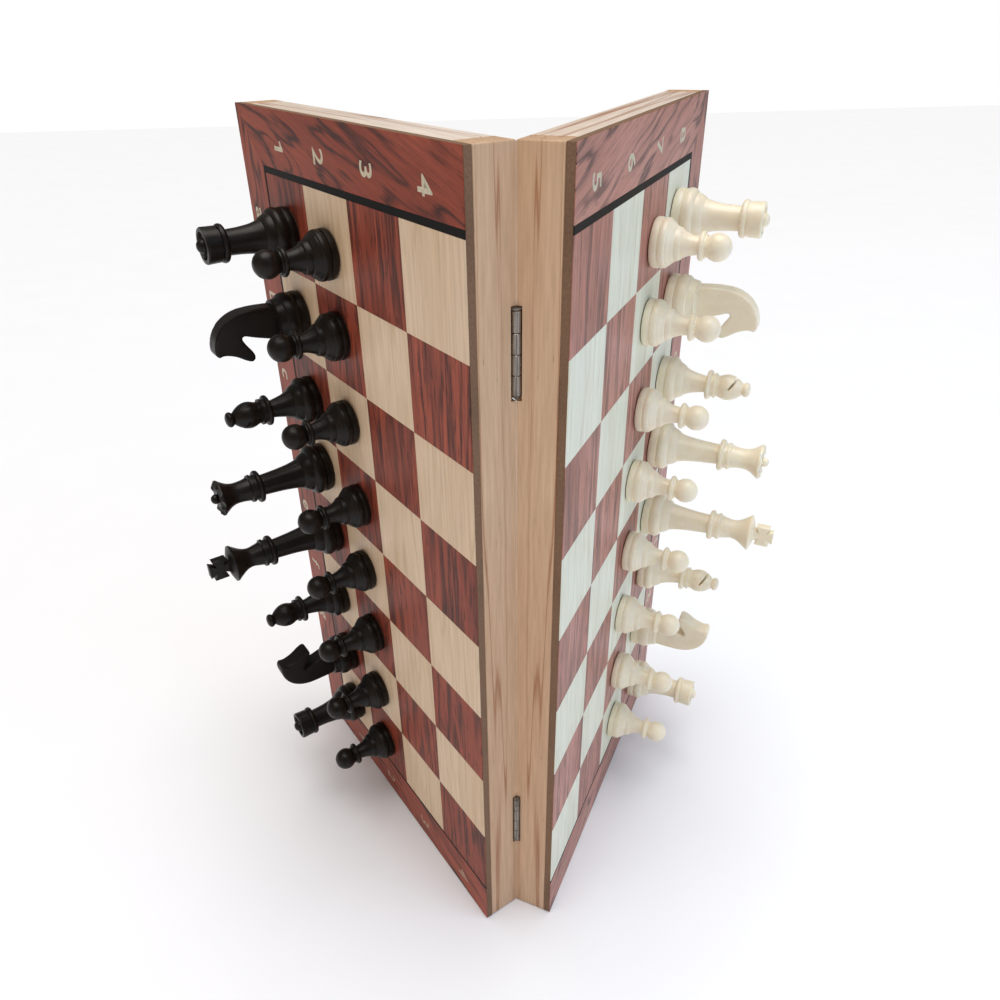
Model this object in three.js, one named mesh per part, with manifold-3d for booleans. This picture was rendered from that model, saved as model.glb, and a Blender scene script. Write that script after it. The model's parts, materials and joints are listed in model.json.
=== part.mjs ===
// Folding magnetic chess set: a hinged wooden box board, half open and standing on its short end,
// with 32 plastic men held on its two outer playing faces. Millimetres, +Z up.
import * as THREE from "three";
import { mergeVertices } from "three/addons/utils/BufferGeometryUtils.js";
import Module from "manifold-3d";

const wasm = await Module();
wasm.setup();

// Board
const SQUARE = 32;
const FILES = 8;
const RANKS_PER_HALF = 4;
const BORDER = 21;
const SPINE_MARGIN = 0.8;
const FOLD_ANGLE = THREE.MathUtils.degToRad(59);
const HALF_LENGTH = FILES * SQUARE + 2 * BORDER;
const HALF_WIDTH = SPINE_MARGIN + RANKS_PER_HALF * SQUARE + BORDER;

// Layers of one half, from the rim of the tray out to the playing face
const RAIL_DEPTH = 12.5;
const RAIL_WALL = 9;
const PANEL_THICKNESS = 1.9;
const STEEL_THICKNESS = 0.4;
const STEEL_INSET = 8;
const VENEER_THICKNESS = 0.6;
const GLUE_GAP = 0.1;
const HINGE_GAP = 0.15;
const PANEL_START = RAIL_DEPTH + GLUE_GAP;
const VENEER_START = PANEL_START + PANEL_THICKNESS + GLUE_GAP;
const PLAYING_FACE = VENEER_START + VENEER_THICKNESS;

// Butt hinges let into the spine
const HINGE_LENGTH = 24;
const HINGE_INSET = 53;
const HINGE_HEIGHTS = { upper: HALF_LENGTH - HINGE_INSET, lower: HINGE_INSET };
const KNUCKLES = 4;
const KNUCKLE_RADIUS = 1.5;
const KNUCKLE_GAP = 0.3;
const KNUCKLE_CLEARANCE = 0.4;
const PIN_RADIUS = 0.7;
const PIN_CLEARANCE = 0.25;
const PIN_HEAD_RADIUS = 1.7;
const PIN_HEAD_LENGTH = 1;
const PIN_TIP_LENGTH = 1.6;
const BARREL_SIDES = 20;
const PIN_SIDES = 12;
const LEAF_THICKNESS = 0.8;
const LEAF_WIDTH = 8;
const LEAF_CLEARANCE = 0.2;

// Hook and stud on the outer rails
const CLASP_HEIGHT = HALF_LENGTH / 2;
const CLASP_DEPTH = 7.5;
const HOOK_THICKNESS = 1.2;
const HOOK_LIFT = 0.5;
const HOOK_EYE_RADIUS = 3;
const HOOK_ARM_WIDTH = 3;
const HOOK_END_RADIUS = 3.2;
const SCREW_RADIUS = 1;
const SCREW_DEPTH = 6;
const SCREW_HEAD_RADIUS = 2.2;
const SCREW_CROWN_RADIUS = 1.8;
const SCREW_HEAD_LENGTH = 0.9;
const SCREW_CLEARANCE = 0.3;
const PILOT_CLEARANCE = 0.1;
const MOUTH_CLEARANCE = 0.4;
const HOOK_SIDES = 16;
const SCREW_SIDES = 12;

// How far a cutting solid runs past the face it cuts, and how close two corners are to be one
const OVERCUT = 1;
const MERGE_TOLERANCE = 1e-4;

// Men: foot radius and the height of each feature above the playing face
const FELT_THICKNESS = 0.3;
const FOOT_BEAD_HEIGHT = 5;
const FOOT_STEP_HEIGHT = 9.6;
const FOOT_BEVEL = 1.1;
const FOOT_SHOULDER = 2.3;
const STEP_ROUND = 1;
const COLLAR_RISE = 2;
const COLLAR_LIP = 1;
const TOP_ROUND = 1;
const TURNED_SIDES = 12;
const CURVE_SEGMENTS = 6;
const PAWN = {
  foot: 8.3, stem: 4.3, neck: 2.9, collar: 4.6, collarHeight: 16.5, ball: 4.6, top: 25.6,
};
const ROOK = {
  foot: 9.2, stem: 6.2, neck: 4.1, collar: 6.3, collarHeight: 25.6,
  crown: 5.8, rimHeight: 29.8, rimWall: 1.3, recess: 1.6, recessTaper: 0.3, nub: 1.5, top: 32.8,
};
const BISHOP = {
  foot: 9.1, stem: 5.3, neck: 3.2, collar: 5.7, collarHeight: 19.6,
  waist: 3.8, waistHeight: 22.6, mitre: 5, mitreHeight: 26.6, tip: 2.1, tipHeight: 32.4,
  knob: 2.8, top: 35.2, slotWidth: 1.1, slotDepth: 3.4, slotTilt: THREE.MathUtils.degToRad(36),
};
const QUEEN = {
  foot: 10, stem: 6.4, neck: 4, collar: 6.3, collarHeight: 29.8,
  waist: 4, waistHeight: 36.6, crown: 7.1, crownHeight: 43.4, rim: 6, rimHeight: 44.9, knob: 1.9, top: 47,
};
const KING = {
  foot: 10, stem: 6.4, neck: 4, collar: 6.2, collarHeight: 30.1,
  waist: 3.9, waistHeight: 36.8, crown: 7.4, crownHeight: 44.5, rim: 4.2, rimHeight: 45.8,
  crossBase: 45.2, top: 54, crossWidth: 9, crossThickness: 3.6, crossWaist: 2.6, crossFlare: 5.4,
};
const KNIGHT = {
  foot: 9.2, necking: 11, neckingRadius: 7.2, thickness: 7, bevel: 0.8, sink: 1.5,
  top: 34, back: 6, bow: 0.3, nape: 33, poll: 10, pollHeight: 30.6,
  brow: 11.5, browHeight: 25.8, reach: 14.8, noseHeight: 21.1,
  chin: 12.4, chinHeight: 18.7, throat: 7.4, throatHeight: 22.4,
};

const BACK_ROW = ["rook", "knight", "bishop", "queen", "king", "bishop", "knight", "rook"];
const FILE_LETTERS = ["a", "b", "c", "d", "e", "f", "g", "h"];
// How far each man stands off the middle of its square: [towards the outer edge, up], files a to h
const NUDGES = {
  1: [[0.5, -2], [1, 0.5], [0, -0.5], [-1.5, 2], [-2, 4], [0, 0], [-1, -1], [-1, -1]],
  2: [[0.5, -3], [-0.5, 2], [0, 1.5], [-2, -0.5], [0, 0], [-1, 0], [1, -2], [0.5, -1.5]],
  7: [[1.5, -3.5], [0.5, 1.5], [2, -0.5], [-2, 3], [0.5, 0.5], [-1.5, 1], [-1, 0], [0, 0]],
  8: [[-1.5, 0], [0.5, 1], [1.5, 0], [-1.5, 4], [-1, 2], [0, 3], [-1, 2], [1.5, -2.5]],
};

const finish = (color, roughness, metalness = 0) =>
  new THREE.MeshStandardMaterial({ color, roughness, metalness });
const FINISHES = {
  pine: () => finish(0xc9a880, 0.62),
  fibreboard: () => finish(0x7a5a44, 0.85),
  steel: () => finish(0x9a9c9e, 0.45, 1),
  rosewood: () => finish(0x8b4a3c, 0.42),
  hinge: () => finish(0x8a857c, 0.38, 1),
  black: () => finish(0x1c1714, 0.4),
  white: () => finish(0xe6d3ae, 0.42),
};

// A manifold-3d solid from a three.js geometry
function solid(geometry) {
  const bare = geometry.clone();
  bare.deleteAttribute("normal");
  bare.deleteAttribute("uv");
  const merged = mergeVertices(bare, MERGE_TOLERANCE);
  return new wasm.Manifold(
    new wasm.Mesh({
      numProp: 3,
      vertProperties: merged.attributes.position.array,
      triVerts: new Uint32Array(merged.index.array),
    }),
  );
}

// A three.js geometry from a manifold-3d solid
function geometryOf(made) {
  const mesh = made.getMesh();
  const geometry = new THREE.BufferGeometry();
  geometry.setAttribute("position", new THREE.BufferAttribute(mesh.vertProperties, 3));
  geometry.setIndex(new THREE.BufferAttribute(mesh.triVerts, 1));
  const flat = geometry.toNonIndexed();
  flat.computeVertexNormals();
  return flat;
}

function joined(first, ...others) {
  return others.reduce((whole, other) => whole.add(other), first);
}

// A box between two corners
function box(low, high) {
  const size = high.map((value, axis) => value - low[axis]);
  const middle = high.map((value, axis) => (value + low[axis]) / 2);
  return new THREE.BoxGeometry(...size).translate(...middle);
}

// A box that runs from one depth to another behind the rim, on the left (+1) or right (-1) half
function layer(side, across, depth, along) {
  const depths = depth.map((value) => value * side).sort((a, b) => a - b);
  return box([across[0], depths[0], along[0]], [across[1], depths[1], along[1]]);
}

// An upright round bar
function bar(radius, low, high, sides = BARREL_SIDES) {
  return new THREE.CylinderGeometry(radius, radius, high - low, sides)
    .rotateX(Math.PI / 2)
    .translate(0, 0, (low + high) / 2);
}

// A round bar along the width of a half, out through its outer rail
function crossBar(radius, from, to, sides = SCREW_SIDES) {
  return new THREE.CylinderGeometry(radius, radius, to - from, sides)
    .rotateZ(-Math.PI / 2)
    .translate((from + to) / 2, 0, 0);
}

// A body of revolution that stands on +Y, from [radius, height] pairs
function turned(pairs, sides = TURNED_SIDES) {
  return new THREE.LatheGeometry(pairs.map(([radius, height]) => new THREE.Vector2(radius, height)), sides);
}

function mesh(name, geometry, material) {
  const made = new THREE.Mesh(geometry, material);
  made.name = name;
  return made;
}

// Hinge

function knuckleSpans(length) {
  const pitch = length / KNUCKLES;
  return Array.from({ length: KNUCKLES }, (_, index) => [
    index * pitch - length / 2 + KNUCKLE_GAP / 2,
    (index + 1) * pitch - length / 2 - KNUCKLE_GAP / 2,
  ]);
}

// One leaf with every other knuckle, centred on the hinge axis
function leaf(side) {
  const own = knuckleSpans(HINGE_LENGTH).filter((_, index) => index % 2 === (side > 0 ? 0 : 1));
  const depth = [HINGE_GAP, HINGE_GAP + LEAF_THICKNESS];
  const start = KNUCKLE_RADIUS + KNUCKLE_CLEARANCE;
  const half = HINGE_LENGTH / 2;
  const plate = solid(layer(side, [start, LEAF_WIDTH], depth, [-half, half]));
  const parts = own.flatMap((span) => [
    solid(bar(KNUCKLE_RADIUS, ...span)),
    solid(layer(side, [PIN_RADIUS, start + KNUCKLE_CLEARANCE], depth, span)),
  ]);
  const bore = solid(bar(PIN_RADIUS + PIN_CLEARANCE, -half, half, PIN_SIDES));
  return geometryOf(joined(plate, ...parts).subtract(bore));
}

function hingePin() {
  const half = HINGE_LENGTH / 2;
  const profile = [
    [0, -half - PIN_TIP_LENGTH],
    [PIN_RADIUS, -half],
    [PIN_RADIUS, half],
    [PIN_HEAD_RADIUS, half + PIN_HEAD_LENGTH],
    [0, half + PIN_HEAD_LENGTH],
  ];
  return turned(profile).rotateX(Math.PI / 2);
}

// The room one hinge needs in a spine rail, barrel groove and leaf pocket together
function hingePocket(side, height) {
  const reach = HINGE_LENGTH / 2 + PIN_HEAD_LENGTH + LEAF_CLEARANCE;
  const half = HINGE_LENGTH / 2 + LEAF_CLEARANCE;
  const groove = solid(bar(KNUCKLE_RADIUS + KNUCKLE_CLEARANCE, -reach - PIN_TIP_LENGTH, reach));
  const deep = HINGE_GAP + LEAF_THICKNESS + LEAF_CLEARANCE;
  const across = [-OVERCUT, LEAF_WIDTH + LEAF_CLEARANCE];
  const pocket = solid(layer(side, across, [-OVERCUT, deep], [-half, half]));
  return groove.add(pocket).translate(0, 0, height);
}

// Wooden half

function spineRail(side) {
  const rail = solid(layer(side, [HINGE_GAP, RAIL_WALL], [HINGE_GAP, RAIL_DEPTH], [0, HALF_LENGTH]));
  const cut = Object.values(HINGE_HEIGHTS).reduce(
    (left, height) => left.subtract(hingePocket(side, height)),
    rail,
  );
  return geometryOf(cut);
}

function outerRail(side) {
  const across = [HALF_WIDTH - RAIL_WALL, HALF_WIDTH];
  const rail = solid(layer(side, across, [HINGE_GAP, RAIL_DEPTH], [0, HALF_LENGTH]));
  const bottom = HALF_WIDTH - SCREW_DEPTH - OVERCUT;
  const pilot = solid(crossBar(SCREW_RADIUS + PILOT_CLEARANCE, bottom, HALF_WIDTH + OVERCUT));
  return geometryOf(rail.subtract(pilot.translate(0, side * CLASP_DEPTH, CLASP_HEIGHT)));
}

function endRail(side, low) {
  const across = [RAIL_WALL + GLUE_GAP, HALF_WIDTH - RAIL_WALL - GLUE_GAP];
  return layer(side, across, [HINGE_GAP, RAIL_DEPTH], [low, low + RAIL_WALL]);
}

// The board under the veneer, with a shallow bed for the steel sheet
function panel(side) {
  const top = PANEL_START + PANEL_THICKNESS;
  const board = solid(layer(side, [HINGE_GAP, HALF_WIDTH], [PANEL_START, top], [0, HALF_LENGTH]));
  const edge = STEEL_INSET - GLUE_GAP;
  const floor = top - STEEL_THICKNESS - GLUE_GAP;
  const bed = solid(
    layer(side, [edge, HALF_WIDTH - edge], [floor, VENEER_START], [edge, HALF_LENGTH - edge]),
  );
  return geometryOf(board.subtract(bed));
}

function steelSheet(side) {
  const top = PANEL_START + PANEL_THICKNESS;
  return layer(
    side,
    [STEEL_INSET, HALF_WIDTH - STEEL_INSET],
    [top - STEEL_THICKNESS, top],
    [STEEL_INSET, HALF_LENGTH - STEEL_INSET],
  );
}

function veneer(side) {
  return layer(side, [HINGE_GAP, HALF_WIDTH], [VENEER_START, PLAYING_FACE], [0, HALF_LENGTH]);
}

// Clasp

// The hook hangs straight down; its mouth opens to the side it swings to
function claspHook() {
  const reach = 2 * CLASP_DEPTH;
  const hole = SCREW_RADIUS + SCREW_CLEARANCE;
  const low = HALF_WIDTH + HOOK_LIFT;
  const high = low + HOOK_THICKNESS;
  const eye = solid(crossBar(HOOK_EYE_RADIUS, low, high, HOOK_SIDES));
  const end = solid(crossBar(HOOK_END_RADIUS, low, high, HOOK_SIDES)).translate(0, 0, -reach);
  const arm = solid(box([low, -HOOK_ARM_WIDTH / 2, -reach], [high, HOOK_ARM_WIDTH / 2, 0]));
  const drill = solid(crossBar(hole, low - OVERCUT, high + OVERCUT));
  const mouth = solid(
    box(
      [low - OVERCUT, -HOOK_END_RADIUS - OVERCUT, -reach - hole],
      [high + OVERCUT, 0, -reach + hole + MOUTH_CLEARANCE],
    ),
  );
  const cut = drill.add(drill.translate(0, 0, -reach)).add(mouth);
  return geometryOf(joined(eye, end, arm).subtract(cut));
}

// A round-headed screw through the outer rail that leaves room for the hook under its head
function claspScrew() {
  const under = HALF_WIDTH + 2 * HOOK_LIFT + HOOK_THICKNESS;
  const profile = [
    [0, HALF_WIDTH - SCREW_DEPTH],
    [SCREW_RADIUS, HALF_WIDTH - SCREW_DEPTH + SCREW_RADIUS],
    [SCREW_RADIUS, under],
    [SCREW_HEAD_RADIUS, under],
    [SCREW_CROWN_RADIUS, under + SCREW_HEAD_LENGTH],
    [0, under + SCREW_HEAD_LENGTH],
  ];
  return turned(profile).rotateZ(-Math.PI / 2);
}

// Men, each standing on +Y from its felt up

// The foot every man shares: a beaded base that steps in to the stem
function foot(size) {
  return [
    [0, 0],
    [size.foot - FOOT_BEVEL, 0],
    [size.foot, FOOT_BEAD_HEIGHT],
    [size.foot - FOOT_SHOULDER, FOOT_STEP_HEIGHT - STEP_ROUND],
    [size.stem, FOOT_STEP_HEIGHT + STEP_ROUND],
  ];
}

// The stem up to a sharp collar
function collared(size) {
  return [
    ...foot(size),
    [size.neck, size.collarHeight - COLLAR_RISE],
    [size.collar, size.collarHeight],
  ];
}

function pawn(size) {
  const middle = size.top - size.ball;
  return turned([
    ...collared(size),
    [size.neck, size.collarHeight + COLLAR_LIP],
    [size.ball, middle],
    [size.ball * Math.SQRT1_2, middle + size.ball * Math.SQRT1_2],
    [0, size.top],
  ]);
}

function rook(size) {
  const floor = size.rimHeight - size.recess;
  return turned([
    ...collared(size),
    [size.crown, size.collarHeight + COLLAR_LIP],
    [size.crown, size.rimHeight],
    [size.crown - size.rimWall, size.rimHeight],
    [size.crown - size.rimWall - size.recessTaper, floor],
    [size.nub, floor],
    [size.nub, size.top - TOP_ROUND],
    [0, size.top],
  ]);
}

function bishop(size) {
  const body = turned([
    ...collared(size),
    [size.waist, size.waistHeight],
    [size.mitre, size.mitreHeight],
    [size.tip, size.tipHeight],
    [size.knob, size.top - TOP_ROUND],
    [0, size.top],
  ]);
  const slot = new THREE.BoxGeometry(4 * size.mitre, size.slotWidth, size.mitre)
    .translate(0, 0, size.slotDepth / 2 + size.mitre / 2)
    .rotateX(-size.slotTilt)
    .translate(0, size.mitreHeight + size.slotWidth, 0);
  return geometryOf(solid(body).subtract(solid(slot)));
}

function queen(size) {
  return turned([
    ...collared(size),
    [size.waist, size.waistHeight],
    [size.crown, size.crownHeight],
    [size.rim, size.rimHeight],
    [size.knob, size.rimHeight],
    [size.knob, size.top - TOP_ROUND],
    [0, size.top],
  ]);
}

function crossPattee(size) {
  const middle = (size.crossBase + size.top) / 2;
  const tall = (size.top - size.crossBase) / 2;
  const wide = size.crossWidth / 2;
  const waist = size.crossWaist / 2;
  const flare = size.crossFlare / 2;
  const corner = [[flare, tall], [waist, waist], [wide, flare]];
  const outline = [
    ...corner,
    ...corner.map(([x, y]) => [x, -y]).reverse(),
    ...corner.map(([x, y]) => [-x, -y]),
    ...corner.map(([x, y]) => [-x, y]).reverse(),
  ];
  const shape = new THREE.Shape(outline.map(([x, y]) => new THREE.Vector2(x, y)));
  return new THREE.ExtrudeGeometry(shape, { depth: size.crossThickness, bevelEnabled: false })
    .translate(0, middle, -size.crossThickness / 2)
    .rotateY(Math.PI / 2);
}

function king(size) {
  const body = turned([
    ...collared(size),
    [size.waist, size.waistHeight],
    [size.crown, size.crownHeight],
    [size.rim, size.rimHeight],
    [0, size.rimHeight],
  ]);
  return geometryOf(solid(body).add(solid(crossPattee(size))));
}

// The horse's head: a flat slab that arches forward (+X) over its foot
function horseOutline(size) {
  const low = size.necking - size.sink;
  const shape = new THREE.Shape();
  shape.moveTo(-size.back, low);
  shape.quadraticCurveTo(-size.back - size.bow, size.pollHeight, 0, size.nape);
  shape.quadraticCurveTo(size.back, size.top, size.poll, size.top);
  shape.lineTo(size.poll, size.pollHeight);
  shape.lineTo(size.brow, size.browHeight);
  shape.lineTo(size.reach, size.noseHeight);
  shape.lineTo(size.chin, size.chinHeight);
  shape.lineTo(size.throat, size.throatHeight);
  shape.quadraticCurveTo(size.back, (size.throatHeight + low) / 2, size.throat, low);
  shape.closePath();
  return shape;
}

function knight(size) {
  const base = turned([
    [0, 0],
    [size.foot - FOOT_BEVEL, 0],
    [size.foot, FOOT_BEAD_HEIGHT],
    [size.neckingRadius, FOOT_STEP_HEIGHT - STEP_ROUND],
    [size.neckingRadius, size.necking],
    [0, size.necking],
  ]);
  const head = new THREE.ExtrudeGeometry(horseOutline(size), {
    depth: size.thickness - 2 * size.bevel,
    bevelEnabled: true,
    bevelThickness: size.bevel,
    bevelSize: size.bevel,
    bevelOffset: -size.bevel,
    bevelSegments: 1,
    curveSegments: CURVE_SEGMENTS,
  }).translate(0, 0, size.bevel - size.thickness / 2);
  return geometryOf(solid(base).add(solid(head)));
}

const MEN = {
  pawn: () => pawn(PAWN),
  rook: () => rook(ROOK),
  knight: () => knight(KNIGHT),
  bishop: () => bishop(BISHOP),
  queen: () => queen(QUEEN),
  king: () => king(KING),
};

// The turn about its own axis that a man stands at: the queen's side knights look down and the
// king's side ones up, and the slots of the black bishops face down
function heading(color, kind, file) {
  if (kind === "knight") return file < FILES / 2 ? Math.PI / 2 : -Math.PI / 2;
  if (kind === "bishop" && color === "black") return Math.PI;
  return 0;
}

function placeMan(side, color, kind, rank, file) {
  const column = rank <= RANKS_PER_HALF ? RANKS_PER_HALF - rank : rank - RANKS_PER_HALF - 1;
  const [out, up] = NUDGES[rank][file];
  const name = `${color}_${kind}_${FILE_LETTERS[file]}${rank}`;
  const geometry = MEN[kind]().rotateY(heading(color, kind, file));
  if (side < 0) geometry.rotateZ(Math.PI);
  const man = mesh(name, geometry, FINISHES[color]());
  man.position.set(
    SPINE_MARGIN + (column + 0.5) * SQUARE + out,
    side * (PLAYING_FACE + FELT_THICKNESS),
    HALF_LENGTH - BORDER - (file + 0.5) * SQUARE + up,
  );
  return man;
}

function army(side, color, backRank, pawnRank) {
  return BACK_ROW.flatMap((kind, file) => [
    placeMan(side, color, kind, backRank, file),
    placeMan(side, color, "pawn", pawnRank, file),
  ]);
}

// Assembly

function half(side, name) {
  const group = new THREE.Group();
  group.name = name;
  group.rotation.z = Math.PI / 2 + (side * FOLD_ANGLE) / 2;
  group.add(
    mesh(`${name}_spine_rail`, spineRail(side), FINISHES.pine()),
    mesh(`${name}_outer_rail`, outerRail(side), FINISHES.pine()),
    mesh(`${name}_top_rail`, endRail(side, HALF_LENGTH - RAIL_WALL), FINISHES.pine()),
    mesh(`${name}_bottom_rail`, endRail(side, 0), FINISHES.pine()),
    mesh(`${name}_base_panel`, panel(side), FINISHES.fibreboard()),
    mesh(`${name}_steel_sheet`, steelSheet(side), FINISHES.steel()),
    mesh(`${name}_board_veneer`, veneer(side), FINISHES.rosewood()),
  );
  for (const [place, height] of Object.entries(HINGE_HEIGHTS)) {
    const made = mesh(`${place}_hinge_${name}_leaf`, leaf(side), FINISHES.hinge());
    made.position.z = height;
    group.add(made);
  }
  return group;
}

function outerScrew(side, name) {
  const screw = mesh(name, claspScrew(), FINISHES.hinge());
  screw.position.set(0, side * CLASP_DEPTH, CLASP_HEIGHT);
  return screw;
}

const left = half(1, "left");
const right = half(-1, "right");
const hook = mesh("clasp_hook", claspHook(), FINISHES.hinge());
hook.position.set(0, CLASP_DEPTH, CLASP_HEIGHT);
left.add(outerScrew(1, "clasp_pivot_screw"), hook, ...army(1, "black", 1, 2));
right.add(outerScrew(-1, "clasp_stud"), ...army(-1, "white", 8, 7));

const group = new THREE.Group();
group.name = "chess_set";
group.add(left, right);
for (const [place, height] of Object.entries(HINGE_HEIGHTS)) {
  const pin = mesh(`${place}_hinge_pin`, hingePin(), FINISHES.hinge());
  pin.position.z = height;
  group.add(pin);
}

// The row's origin is the middle of its footprint, on the ground
const bounds = new THREE.Box3().setFromObject(group, true);
const centre = bounds.getCenter(new THREE.Vector3());
group.children.forEach((child) => child.position.sub(new THREE.Vector3(centre.x, centre.y, bounds.min.z)));

export default group;
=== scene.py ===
"""A folding magnetic chess set that stands half open on its short end, with its men in place."""

import json
import logging
import math
import random
from collections.abc import Iterable, Sequence
from dataclasses import dataclass, field, replace
from enum import Enum

import bpy
from bpy.types import Material, Node, NodeSocket, NodeTree, Object
from mathutils import Matrix, Vector


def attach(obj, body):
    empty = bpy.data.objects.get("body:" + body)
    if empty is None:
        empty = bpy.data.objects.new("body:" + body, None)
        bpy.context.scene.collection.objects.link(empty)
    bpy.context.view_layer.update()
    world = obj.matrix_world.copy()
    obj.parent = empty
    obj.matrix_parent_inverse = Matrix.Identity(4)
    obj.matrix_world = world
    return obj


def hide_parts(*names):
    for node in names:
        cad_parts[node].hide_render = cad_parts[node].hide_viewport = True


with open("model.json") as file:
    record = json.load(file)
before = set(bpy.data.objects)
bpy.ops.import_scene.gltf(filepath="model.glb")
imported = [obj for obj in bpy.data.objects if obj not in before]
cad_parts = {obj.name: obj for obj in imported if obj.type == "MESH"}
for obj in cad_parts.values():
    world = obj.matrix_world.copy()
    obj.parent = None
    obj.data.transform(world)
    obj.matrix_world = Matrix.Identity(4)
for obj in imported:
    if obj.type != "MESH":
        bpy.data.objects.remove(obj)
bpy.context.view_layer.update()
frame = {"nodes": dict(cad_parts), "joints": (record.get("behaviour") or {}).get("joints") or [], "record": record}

log = logging.getLogger("chess_set")

Corners = tuple[Vector, Vector]

# Lengths are in millimetres and angles in degrees, unless a line says otherwise.
MM = 0.001
FILES = "abcdefgh"
SQUARE = 32.0
FIELD_BOTTOM = 21.0
FIELD_NEAR = 0.8
RANKS_PER_HALF = 4
FACE_TOP = 15.2
SHEET_BOTTOM = 14.95


class Side(Enum):
    """The half of the board, and the sign of its width in the open frame."""

    LEFT = 1
    RIGHT = -1

    @property
    def word(self) -> str:
        """The half's name in node names."""
        return self.name.lower()


class Grain(Enum):
    """The way the grain of a wood runs in its half's frame, as a turn about the face's normal."""

    UPRIGHT = 0.0
    LEVEL = 90.0
    OBLIQUE = 74.0


class Kind(Enum):
    """The six kinds of men."""

    PAWN = "pawn"
    ROOK = "rook"
    KNIGHT = "knight"
    BISHOP = "bishop"
    QUEEN = "queen"
    KING = "king"


# ---------------------------------------------------------------- colour, nodes


def linear(hex_colour: str) -> tuple[float, float, float, float]:
    """Turn an sRGB hex colour into a linear colour.

    Args:
        hex_colour: six hex digits with a leading #.

    Returns:
        Linear red, green and blue, and an alpha of 1.
    """
    channels = [int(hex_colour[i : i + 2], 16) / 255 for i in (1, 3, 5)]
    red, green, blue = (c / 12.92 if c <= 0.04045 else ((c + 0.055) / 1.055) ** 2.4 for c in channels)
    return red, green, blue, 1.0


def add_node(tree: NodeTree, kind: str, settings: dict | None = None, links: dict | None = None) -> Node:
    """Add a shader node with its settings and links.

    Args:
        tree: the node tree.
        kind: the node's type, without the ShaderNode prefix.
        settings: values of sockets, by name or index, or of the node's own properties.
        links: output sockets to join to the node's inputs, by name or index.

    Returns:
        The new node.
    """
    node = tree.nodes.new("ShaderNode" + kind)
    for key, value in (settings or {}).items():
        if isinstance(key, int) or (key in node.inputs and not hasattr(node, key)):
            node.inputs[key].default_value = value
        else:
            setattr(node, key, value)
    for key, socket in (links or {}).items():
        tree.links.new(socket, node.inputs[key])
    return node


def add_ramp(tree: NodeTree, source: NodeSocket, stops: Sequence[tuple[float, str]]) -> NodeSocket:
    """Add a colour ramp fed by a socket.

    Args:
        tree: the node tree.
        source: the socket that gives the place on the ramp.
        stops: places and hex colours, in order.

    Returns:
        The ramp's colour socket.
    """
    node = add_node(tree, "ValToRGB", links={"Fac": source})
    elements = node.color_ramp.elements
    while len(elements) < len(stops):
        elements.new(0.5)
    for element, (place, colour) in zip(elements, stops):
        element.position = place
        element.color = linear(colour)
    return node.outputs["Color"]


def new_material(name: str) -> tuple[Material, NodeTree, Node]:
    """Make an empty material with its output and its shader.

    Args:
        name: the material's name.

    Returns:
        The material, its tree and its Principled shader.
    """
    material = bpy.data.materials.new(name)
    material.use_nodes = True
    tree = material.node_tree
    tree.nodes.clear()
    shader = add_node(tree, "BsdfPrincipled")
    add_node(tree, "OutputMaterial", links={"Surface": shader.outputs["BSDF"]})
    return material, tree, shader


# ---------------------------------------------------------------- the halves' frame


@dataclass(frozen=True)
class Half:
    """A half's own frame in millimetres, as if the board lay open: x sideways, y out of the face, z up."""

    side: Side
    hinge: Vector
    open_degrees: float

    def turn(self) -> float:
        """The angle from the open frame to the row frame about z, in radians."""
        return self.side.value * math.radians(90.0 + self.open_degrees / 2)

    def matrix(self) -> Matrix:
        """Millimetres in the open frame to metres in the row frame."""
        place = Matrix.Translation((self.hinge.x, self.hinge.y, 0.0))
        return place @ Matrix.Rotation(self.turn(), 4, "Z") @ Matrix.Scale(MM, 4)

    def body(self) -> str:
        """The CAD body that the half is."""
        return f"{self.side.word}_half"

    def span(self, node: str) -> Corners:
        """Measure a CAD node in this half's frame.

        Args:
            node: the node's name.

        Returns:
            Its lowest and highest corners in millimetres.
        """
        back = self.matrix().inverted()
        points = [back @ v.co for v in frame["nodes"][node].data.vertices]
        low = Vector(min(p[i] for p in points) for i in range(3))
        high = Vector(max(p[i] for p in points) for i in range(3))
        return low, high

    def box_of(self, u: tuple[float, float], n: tuple[float, float], z: tuple[float, float]) -> Corners:
        """Turn distances from the spine into corners in this half's frame.

        Args:
            u: near and far distance from the spine.
            n: low and high distance from the rims' plane.
            z: low and high height.

        Returns:
            Lowest and highest corners.
        """
        x = sorted(self.side.value * d for d in u)
        return Vector((x[0], n[0], z[0])), Vector((x[1], n[1], z[1]))


# ---------------------------------------------------------------- finishes


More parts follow.
